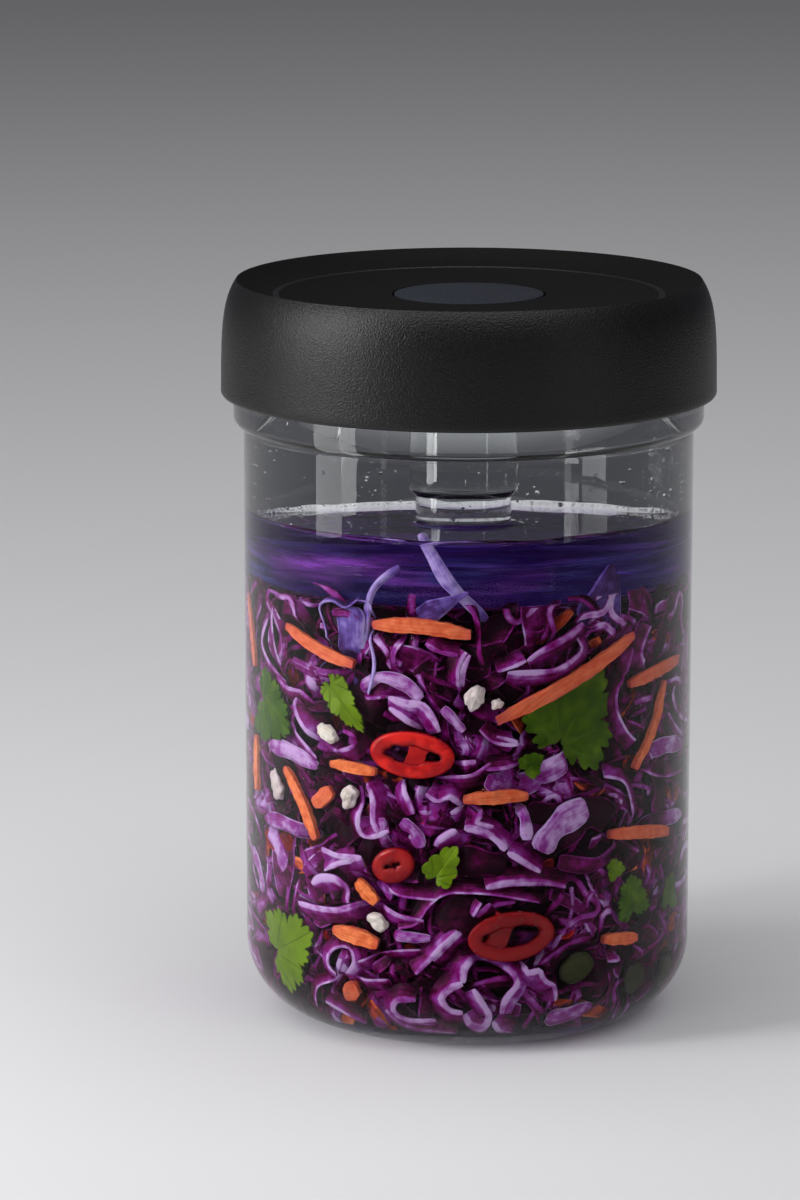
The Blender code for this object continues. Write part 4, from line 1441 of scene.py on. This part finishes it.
    def on_top(self, azimuth: float, share: float, flat: Vector) -> Vector:
        """Lays a flat point on top of the heap.

        Args:
            azimuth: Degrees round the axis.
            share: From 0, the axis, to 1, the rim.
            flat: The point as (across, inwards, up), laid down so that inwards is down.

        Returns:
            The point in the jar's frame.
        """
        turn = math.radians(azimuth)
        distance = 0.045 * math.sqrt(share)
        spot = Vector((distance * math.cos(turn) + flat.x, distance * math.sin(turn) + flat.z))
        if spot.length > 0.0475:
            spot = spot.normalized() * 0.0475
        return Vector((spot.x, spot.y, self.core_top + 0.0022 - flat.y))

    def shreds(self, cut: Cut, finish: bpy.types.Material, slot: str = "red_cabbage") -> bpy.types.Object:
        """Builds every shred of one kind.

        Args:
            cut: The kind.
            finish: The material.
            slot: The kind of food; only red_cabbage hides the imported slaw.

        Returns:
            The object.
        """
        draw = random.Random(f"{self.seed} {cut.name}")
        jobs = [lambda bm: self.shred(bm, cut, draw)] * cut.count
        return self.closed(gathered(jobs, SHRED_LAYERS), cut.name, finish, slot)

    def closed(
        self, bm: bmesh.types.BMesh, name: str, finish: bpy.types.Material, slot: str = "red_cabbage"
    ) -> bpy.types.Object:
        """Welds the seams of the shreds in a mesh and makes it a piece."""
        bmesh.ops.remove_doubles(bm, verts=bm.verts, dist=0.000002)
        bmesh.ops.recalc_face_normals(bm, faces=bm.faces)
        return add_piece(name, bm, [finish], ["cabbage_slaw"] if slot == "red_cabbage" else [], 50.0)

    def strand(self, bm: bmesh.types.BMesh, strand: Strand, turned: float) -> None:
        """Adds one shred along a smooth way through its points.

        Args:
            bm: The mesh that takes it.
            strand: The shred.
            turned: Degrees by which it is turned about the axis.
        """
        way = [Vector(point) for point in strand.way]
        spans = [math.dist(self.flat_point(a), self.flat_point(b)) for a, b in zip(way, way[1:])]
        length = sum(spans)
        stations = [sum(spans[:k]) / length for k in range(len(way))]
        steps = max(8, min(40, round(length / 1.1)))
        uneven = 2.0 * strand.shade + strand.way[0][0]

        def along_way(share: float) -> Vector:
            """The way's point at a share of its length."""
            spot = np.interp(share, stations, np.arange(len(way)))
            return along_points(way, spot / (len(way) - 1))

        def along_list(values: float | tuple[float, ...], share: float) -> float:
            """A value that changes along the strand."""
            listed = np.atleast_1d(values)
            return float(np.interp(share, np.linspace(0.0, 1.0, len(listed)), listed))

        def place(share: float, across: float, through: float) -> tuple[Vector, float]:
            """A point of the strand in the jar's frame, and its depth."""
            spot = along_way(share)
            ahead = self.flat_point(along_way(min(share + 0.02, 1.0))) - self.flat_point(
                along_way(max(share - 0.02, 0.0))
            )
            beside = Vector((-ahead.y, ahead.x)).normalized()
            swell = 1 + 0.16 * math.sin(5 * share + uneven) + 0.08 * math.sin(13 * share + 2 * uneven)
            taper = 1 - 0.5 * abs(2 * share - 1) ** 6
            width = along_list(strand.width, share) * swell * taper
            depth = along_list(strand.depth, share)
            if strand.face is Face.EDGE:
                side = math.copysign(strand.lean, math.sin(7.3 * uneven))
                reach = through * width / 2 + side * (across + 1) / 2
                depth += strand.reach * (across + 1) / 2
            else:
                reach = across * width / 2
                depth += strand.thickness * (0.5 + through / 2)
                depth += 0.5 * across**2 + 0.3 * across * math.sin(9 * share + uneven)
            turn = math.radians(spot.x + turned)
            depth = depth * 0.001 + self.depths.at(turn, spot.y * 0.001)
            flat = Vector((beside.x * reach * 0.001, depth, beside.y * reach * 0.001))
            return WALL.bend(spot.x + turned, spot.y * 0.001, flat), depth

        if strand.face is Face.EDGE:
            self.add_section(bm, steps, STRIP_SECTION, (length * 0.001, 0.003), place, strand.shade)
        else:
            broad = float(np.mean(strand.width)) * 0.001
            shade = strand.shade * (1.0 + 0.65 * strand.shade)
            self.add_section(bm, steps, LEAF_SECTION, (length * 0.001, broad), place, shade)

    @staticmethod
    def flat_point(point: Vector) -> Vector:
        """A way's point laid out flat, in millimetres."""
        return Vector((math.radians(point.x) * WALL.radius * 1000, point.y))

    def strands(
        self, name: str, table: tuple[Strand, ...], turns: tuple[float, ...], finish: bpy.types.Material
    ) -> bpy.types.Object:
        """Builds the shreds of a table, repeated round the jar.

        Args:
            name: The piece's name.
            table: The shreds.
            turns: Degrees by which each repeat is turned.
            finish: The material.

        Returns:
            The object.
        """
        jobs = [partial(self.strand, strand=strand, turned=turned) for turned in turns for strand in table]
        return self.closed(gathered(jobs, SHRED_LAYERS), name, finish)

    def build(self) -> list[bpy.types.Object]:
        """Builds the core and every kind of shred."""
        finish = CabbageCut("cut red cabbage").material()
        soaked = CabbageCut("soaked cabbage", SOAKED).material()
        pieces = [
            self.core(),
            self.strands("rising_strands", RISING_STRANDS, (0.0,), soaked),
            self.strands("cabbage_strands", STRANDS, self.strand_turns, finish),
        ]
        self.depths.cover(pieces[-1], 1, 0.0019)
        carrot = CabbageCut("buried carrot", BURIED_CARROT).material()
        chili = CabbageCut("buried chili", BURIED_CHILI).material()
        pieces.append(self.shreds(self.buried_carrot, carrot, "carrot"))
        pieces.append(self.shreds(self.buried_chili, chili, "red_chili"))
        return pieces + [self.shreds(cut, finish) for cut in self.cuts]


def along_points(points: list[Vector], share: float) -> Vector:
    """A point on the smooth curve through points.

    Args:
        points: At least two points.
        share: From 0, the first, to 1, the last.

    Returns:
        The Catmull-Rom point.
    """
    spot = min(share, 0.99999) * (len(points) - 1)
    index = int(spot)
    part = spot - index
    before = points[max(index - 1, 0)]
    first, second = points[index], points[index + 1]
    after = points[min(index + 2, len(points) - 1)]
    return 0.5 * (
        2 * first
        + (second - before) * part
        + (2 * before - 5 * first + 4 * second - after) * part**2
        + (3 * first - before - 3 * second + after) * part**3
    )


def node_copy(obj: bpy.types.Object) -> bmesh.types.BMesh:
    """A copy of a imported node's mesh, its loose triangles merged."""
    bm = bmesh.new()
    bm.from_mesh(obj.data)
    bmesh.ops.remove_doubles(bm, verts=bm.verts, dist=WELD)
    return bm


def main_axes(bm: bmesh.types.BMesh) -> tuple[Vector, list[Vector], list[float]]:
    """Finds how a small piece lies.

    Args:
        bm: Its mesh.

    Returns:
        Its middle, its long, broad and thin directions, and its half size along each.
    """
    points = np.array([vert.co for vert in bm.verts])
    middle = points.mean(0)
    _, turned = np.linalg.eigh(np.cov((points - middle).T))
    axes = [turned[:, k] for k in (2, 1, 0)]
    halves = [float(np.abs((points - middle) @ axis).max()) for axis in axes]
    return Vector(middle), [Vector(axis) for axis in axes], halves


@dataclass
class SmallPieces:
    """Pieces of one vegetable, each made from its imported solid, rounded and roughened."""

    name: str
    prefix: str
    slot: str
    finish: CutVegetable
    seed: int
    cuts: int = 2
    rounding: float = 0.08
    roughness: float = 0.00022
    cell: float = 0.0016
    taper: float = 0.0

    def build(self, nodes: dict[str, bpy.types.Object]) -> bpy.types.Object:
        """Builds the pieces.

        Args:
            nodes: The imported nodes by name.

        Returns:
            The object.
        """
        draw = random.Random(self.seed)
        names = sorted(name for name in nodes if name.startswith(self.prefix))
        whole = bmesh.new()
        layers = [whole.verts.layers.float.new(name) for name in ("shade", "along", "across")]
        for name in names:
            bm = node_copy(nodes[name])
            middle, axes, halves = main_axes(bm)
            bmesh.ops.subdivide_edges(
                bm, edges=bm.edges, cuts=self.cuts, use_grid_fill=True, smooth=self.rounding
            )
            bm.normal_update()
            shade = draw.random()
            moved = {}
            slant = draw.uniform(-0.06, 0.06)
            for vert in bm.verts:
                uneven = noise.noise(vert.co / self.cell) * self.roughness
                place = vert.co + vert.normal * (uneven - self.roughness * 0.5)
                spot = place - middle
                along, across = spot.dot(axes[0]) / halves[0], spot.dot(axes[1])
                narrowed = self.taper * max(0.0, (abs(along) - 0.55) / 0.45) ** 2
                place -= axes[1] * (across * narrowed)
                place -= axes[0] * (along * self.taper * (0.12 * halves[0]) * abs(across / halves[1] + slant * 9))
                moved[vert] = whole.verts.new(place)
                offset = place - middle
                moved[vert][layers[0]] = shade
                moved[vert][layers[1]] = offset.dot(axes[0]) / halves[0]
                moved[vert][layers[2]] = offset.dot(axes[1]) / halves[1]
            for face in bm.faces:
                whole.faces.new([moved[vert] for vert in face.verts])
            bm.free()
        return add_piece(self.name, whole, [self.finish.material()], names, 50.0)


@dataclass(frozen=True)
class Slice:
    """A chili slice: where it lies, its size, its roll in degrees, how dark it is painted as shade, and the place of
    its bridge.
    """

    azimuth: float
    height: float
    long: float
    short: float
    roll: float
    painted_shade: float = 0.0
    bridge: float = 0.0
    lean: float = 80.0


@dataclass
class ChiliSlices:
    """Oval slices of red chili, with seed holes parted by a bridge of pith."""

    slices: tuple[Slice, ...] = (
        # The sixth value darkens a slice as painted shade.
        Slice(-14.9, 0.0751, 0.0210, 0.0114, -3, 0.0, 0.0012, 76),
        Slice(11.9, 0.0306, 0.0214, 0.0122, 5, 0.75, -0.0028, 60),
        Slice(-20.0, 0.0476, 0.0110, 0.0086, 20, 0.6),
        Slice(-104.0, 0.0420, 0.0190, 0.0120, 30, 0.4, -0.001),
        Slice(151.0, 0.0800, 0.0200, 0.0118, -25, 0.2, 0.0015),
    )
    wall: float = 0.0037
    depth: float = 0.0032
    parted: float = 0.018
    sides: int = 56
    section: int = 20

    def ring(self, bm: bmesh.types.BMesh, item: Slice, layers: list) -> None:
        """Adds one slice's ring.

        Args:
            bm: The mesh that takes it.
            item: The slice.
            layers: The vertex layers of the place from hole to skin and of the painted shade.
        """
        part = spun(arc((1.0, 0.0), 0.5, 0, 360, self.section), self.sides)
        moved = {}
        roll = math.radians(item.roll)
        for vert in part.verts:
            turn = math.atan2(vert.co.y, vert.co.x)
            out = math.hypot(vert.co.x, vert.co.y) - 1.0
            back = vert.co.z
            squared = math.hypot(out, back) / (abs(out) ** 5 + abs(back) ** 5) ** 0.2
            uneven = 0.16 * noise.noise(Vector((math.cos(turn), math.sin(turn), item.height * 90)) * 1.9)
            thick = self.wall * squared * (1.0 + 3.4 * uneven * (out < 0))
            reach_long = item.long / 2 - self.wall / 2 + out * thick
            reach_short = item.short / 2 - self.wall / 2 + out * thick
            across = reach_long * math.cos(turn)
            up = -reach_short * math.sin(turn)
            flat = Vector(
                (
                    across * math.cos(roll) - up * math.sin(roll),
                    self.depth / 2 + 0.0002 + back * self.depth * squared * 0.92,
                    across * math.sin(roll) + up * math.cos(roll),
                )
            )
            moved[vert] = bm.verts.new(WALL.bend(item.azimuth, item.height, flat))
            moved[vert][layers[0]] = out * 2.0
            moved[vert][layers[1]] = item.painted_shade
        for face in part.faces:
            bm.faces.new([moved[vert] for vert in face.verts])
        part.free()

    def pith(self, bm: bmesh.types.BMesh, item: Slice, layers: list) -> None:
        """Adds the bridge between the two seed holes.

        Args:
            bm: The mesh that takes it.
            item: The slice.
            layers: The vertex layers of the place from hole to skin and of the painted shade.
        """
        part = bmesh.new()
        bmesh.ops.create_cube(part, size=1.0)
        bmesh.ops.subdivide_edges(part, edges=part.edges, cuts=5, use_grid_fill=True)
        moved = {}
        roll = math.radians(item.roll + item.lean)
        length = item.short - self.wall
        for vert in part.verts:
            waist = 0.9 + 2.6 * abs(vert.co.x) ** 2 + 0.5 * noise.noise(vert.co * 3 + Vector((item.azimuth, 0, 0)))
            across = vert.co.x * length
            up = vert.co.y * 0.0040 * waist - item.bridge
            flat = Vector(
                (
                    across * math.cos(roll) - up * math.sin(roll),
                    self.depth / 2 + 0.0006 + vert.co.z * 0.0022,
                    across * math.sin(roll) + up * math.cos(roll),
                )
            )
            moved[vert] = bm.verts.new(WALL.bend(item.azimuth, item.height, flat))
            moved[vert][layers[0]] = -0.5 + abs(vert.co.x)
            moved[vert][layers[1]] = item.painted_shade
        for face in part.faces:
            bm.faces.new([moved[vert] for vert in face.verts])
        part.free()

    def build(self) -> bpy.types.Object:
        """Builds the slices."""
        bm = bmesh.new()
        layers = [bm.verts.layers.float.new(name) for name in ("across", "shade")]
        for item in self.slices:
            self.ring(bm, item, layers)
            if item.long > self.parted:
                self.pith(bm, item, layers)
        nodes = [f"chili_ring_{number}" for number in range(1, len(self.slices) + 1)]
        return add_piece("chili_slices", bm, [ChiliFlesh("red chili").material()], nodes, 60.0)


@dataclass(frozen=True)
class Sprig:
    """A leaf: where it lies, its size, its roll in degrees, its depth and how bright it is, which is partly painted
    light and shade.
    """

    azimuth: float
    height: float
    size: float
    roll: float
    shade: float
    depth: float = 0.0016
    narrow: float = 1.0
    toothed: float = 1.0


@dataclass
class HerbLeaves:
    """Toothed leaves of cilantro, pressed against the glass."""

    sprigs: tuple[Sprig, ...] = (
        # The fifth value, shade, sets each leaf's brightness: partly its own tone, partly painted light and shade
        # that makes some leaves lit and others shaded.
        Sprig(29.8, 0.0826, 0.0132, 58, 0.15, depth=0.0030),
        Sprig(-64.8, 0.0800, 0.0098, -20, 0.0),
        Sprig(-35.6, 0.0866, 0.0088, -48, 0.9, narrow=0.5),
        Sprig(-56.5, 0.0222, 0.0105, 30, 0.75),
        Sprig(-6.6, 0.0478, 0.0062, 58, 0.95, narrow=0.72, toothed=0.1),
        Sprig(49.8, 0.0352, 0.0062, 100, 0.2),
        Sprig(68.6, 0.0330, 0.0050, 80, 0.15),
        Sprig(43.0, 0.0440, 0.0030, 0, 0.8),
        Sprig(17.0, 0.0727, 0.0034, 40, 0.2),
        Sprig(-133.0, 0.0330, 0.0100, 70, 0.5),
        Sprig(178.0, 0.0680, 0.0105, 130, 0.4),
        Sprig(112.0, 0.0930, 0.0095, 20, 0.6),
    )
    wave: float = 0.0006
    thickness: float = 0.00045
    sides: int = 160
    rings: tuple[float, ...] = (0.0, 0.25, 0.5, 0.72, 0.88, 1.0)

    @staticmethod
    def outline(turn: float, toothed: float) -> float:
        """The outline's reach as a share of the leaf's size, by the angle from its tip and how toothed it is."""
        lobes = 0.80 + 0.12 * math.cos(3 * turn)
        lobules = 0.20 * abs(math.cos(4.5 * turn + 0.3)) ** 0.7 - 0.10
        teeth = (0.12 * abs(math.cos(13.5 * turn + 0.9)) - 0.06) * toothed
        stalk_notch = 0.30 * math.exp(-(((math.pi - abs(turn)) / 0.35) ** 2))
        return lobes + lobules + teeth - stalk_notch

    def build(self) -> bpy.types.Object:
        """Builds the leaves."""
        whole = bmesh.new()
        layers = [whole.verts.layers.float.new(name) for name in ("shade", "along", "across")]
        for sprig in self.sprigs:
            part = spun([(reach, 0.0) for reach in self.rings], self.sides)
            roll = math.radians(sprig.roll)
            moved = {}
            for vert in part.verts:
                turn = math.atan2(vert.co.y, vert.co.x)
                reach = math.hypot(vert.co.x, vert.co.y)
                shape = 0.8 + (self.outline(turn, sprig.toothed) - 0.8) * reach**2
                along = reach * shape * math.cos(turn)
                across = reach * shape * math.sin(turn) * sprig.narrow
                wave = self.wave * reach * math.sin(3 * turn + sprig.azimuth)
                fold = 0.10 * abs(across) * sprig.size
                flat = Vector(
                    (
                        sprig.size * (along * math.cos(roll) - across * math.sin(roll)),
                        sprig.depth + wave - fold,
                        sprig.size * (along * math.sin(roll) + across * math.cos(roll)),
                    )
                )
                made = whole.verts.new(WALL.bend(sprig.azimuth, sprig.height, flat))
                made[layers[0]] = sprig.shade
                made[layers[1]] = along
                made[layers[2]] = across
                moved[vert] = made
            for face in part.faces:
                whole.faces.new([moved[vert] for vert in face.verts])
            part.free()
        nodes = [f"cilantro_leaf_{number:02d}" for number in range(1, len(self.sprigs) + 1)]
        obj = add_piece("herb_leaves", whole, [LeafGreen("cilantro leaf").material()], nodes)
        add_thickness(obj, self.thickness)
        return obj


@dataclass
class Studio:
    """The camera, the pale floor and soft light."""

    lens: float = 144.0
    camera_place: tuple[float, float, float] = (0.0, -1.1577, 0.3427)
    camera_pitch: float = 78.26
    camera_turn: float = 0.83
    floor_size: float = 9.0
    low_sky: Colour = (0.055, 0.055, 0.063)
    high_sky: Colour = (0.13, 0.13, 0.14)

    def add_camera(self) -> None:
        """Sets the camera at the photo's viewing angle."""
        camera = bpy.data.cameras.new("camera")
        camera.lens = self.lens
        obj = bpy.data.objects.new("camera", camera)
        obj.location = self.camera_place
        obj.rotation_euler = (math.radians(self.camera_pitch), 0.0, math.radians(self.camera_turn))
        bpy.context.scene.collection.objects.link(obj)
        bpy.context.scene.camera = obj

    def add_floor(self) -> None:
        """Lays the floor."""
        bm = bmesh.new()
        bmesh.ops.create_grid(bm, x_segments=1, y_segments=1, size=self.floor_size)
        mesh = bpy.data.meshes.new("floor")
        bm.to_mesh(mesh)
        bm.free()
        mesh.materials.append(PaleFloor().material())
        floor = bpy.data.objects.new("floor", mesh)
        bpy.context.scene.collection.objects.link(floor)

    def add_softbox(
        self, name: str, azimuth: float, distance: float, height: float, size: tuple[float, float],
        radiance: float,
    ) -> None:
        """Sets a softbox that faces the jar.

        Args:
            name: Its name.
            azimuth: Degrees from the front towards +X.
            distance: From the jar's axis.
            height: Of its middle.
            size: Its width and height.
            radiance: How bright its face is.
        """
        light = bpy.data.lights.new(name, "AREA")
        light.shape = "RECTANGLE"
        light.size, light.size_y = size
        light.energy = radiance * math.pi * size[0] * size[1]
        turn = math.radians(azimuth)
        place = Vector((distance * math.sin(turn), -distance * math.cos(turn), height))
        obj = bpy.data.objects.new(name, light)
        obj.location = place
        obj.rotation_euler = (place - Vector((0.0, 0.0, 0.09))).to_track_quat("Z", "Y").to_euler()
        bpy.context.scene.collection.objects.link(obj)

    def add_sky(self) -> None:
        """Gives the world a soft light that is brighter overhead."""
        graph = Graph("studio", world=True)
        direction = graph.node("ShaderNodeTexCoord", result="Generated")
        up = graph.node("ShaderNodeSeparateXYZ", sockets={0: direction}, result="Z")
        light = graph.mix(up.above(0.05, 0.9), self.low_sky, self.high_sky)
        bpy.context.scene.world = graph.finish(graph.node("ShaderNodeBackground", sockets={"Color": light}))

    def build(self) -> None:
        """Builds the studio."""
        self.add_camera()
        self.add_floor()
        self.add_sky()
        self.add_softbox("left softbox", -76.0, 1.05, 0.46, (0.34, 0.75), 6.5)
        self.add_softbox("left strip", -62.0, 0.50, 0.34, (0.090, 0.46), 11.5)
        self.add_softbox("right strip", 50.4, 0.50, 0.27, (0.035, 0.49), 3.0)
        self.add_softbox("overhead softbox", 0.0, 0.30, 2.0, (2.2, 2.2), 2.2)
        bpy.context.scene.view_settings.view_transform = "Standard"


def main() -> None:
    """Builds the jar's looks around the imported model."""
    logging.basicConfig(level=logging.INFO, format="%(message)s")
    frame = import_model()
    nodes = frame["nodes"]
    level = 0.126
    cap_low, cap_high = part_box("lid")
    food = ("carrot_strip_", "chili_ring_", "cilantro_leaf_", "pale_chunk_", "green_slice_")
    depths = DepthMap()
    for name in sorted(nodes):
        if name.startswith(food):
            depths.cover(nodes[name], 2)

    Studio().build()
    carrot = CutVegetable("carrot", (0.66, 0.095, 0.018), (1.00, 0.300, 0.085), (0.50, 0.050, 0.060))
    pale = CutVegetable("pale vegetable", (0.56, 0.50, 0.36), (0.88, 0.86, 0.72), (0.44, 0.30, 0.40))
    olive = CutVegetable("olive green slice", (0.022, 0.030, 0.005), (0.045, 0.055, 0.012), (0.025, 0.008, 0.020))
    pieces = [
        GlassBody(level).build(),
        BrineFill(level).build(),
        Bubbles(level).build(),
        PressWeight(level).build(),
        *Cap((cap_high.x - cap_low.x) / 2).build(),
        *CabbageHeap(depths).build(),
        SmallPieces("carrot_strips", "carrot_strip_", "carrot", carrot, 5, 3, roughness=0.0004, taper=0.16).build(nodes),
        SmallPieces("pale_chunks", "pale_chunk_", "pale_vegetable", pale, 6, 3, 0.5, 0.0007, 0.0016).build(nodes),
        SmallPieces("green_slices", "green_slice_", "green_slice", olive, 7, 2, 0.6).build(nodes),
        ChiliSlices().build(),
        HerbLeaves().build(),
    ]
    for piece in pieces:
        LOG.info("%s: %d faces", piece.name, len(piece.data.polygons))


if __name__ == "__main__":
    main()
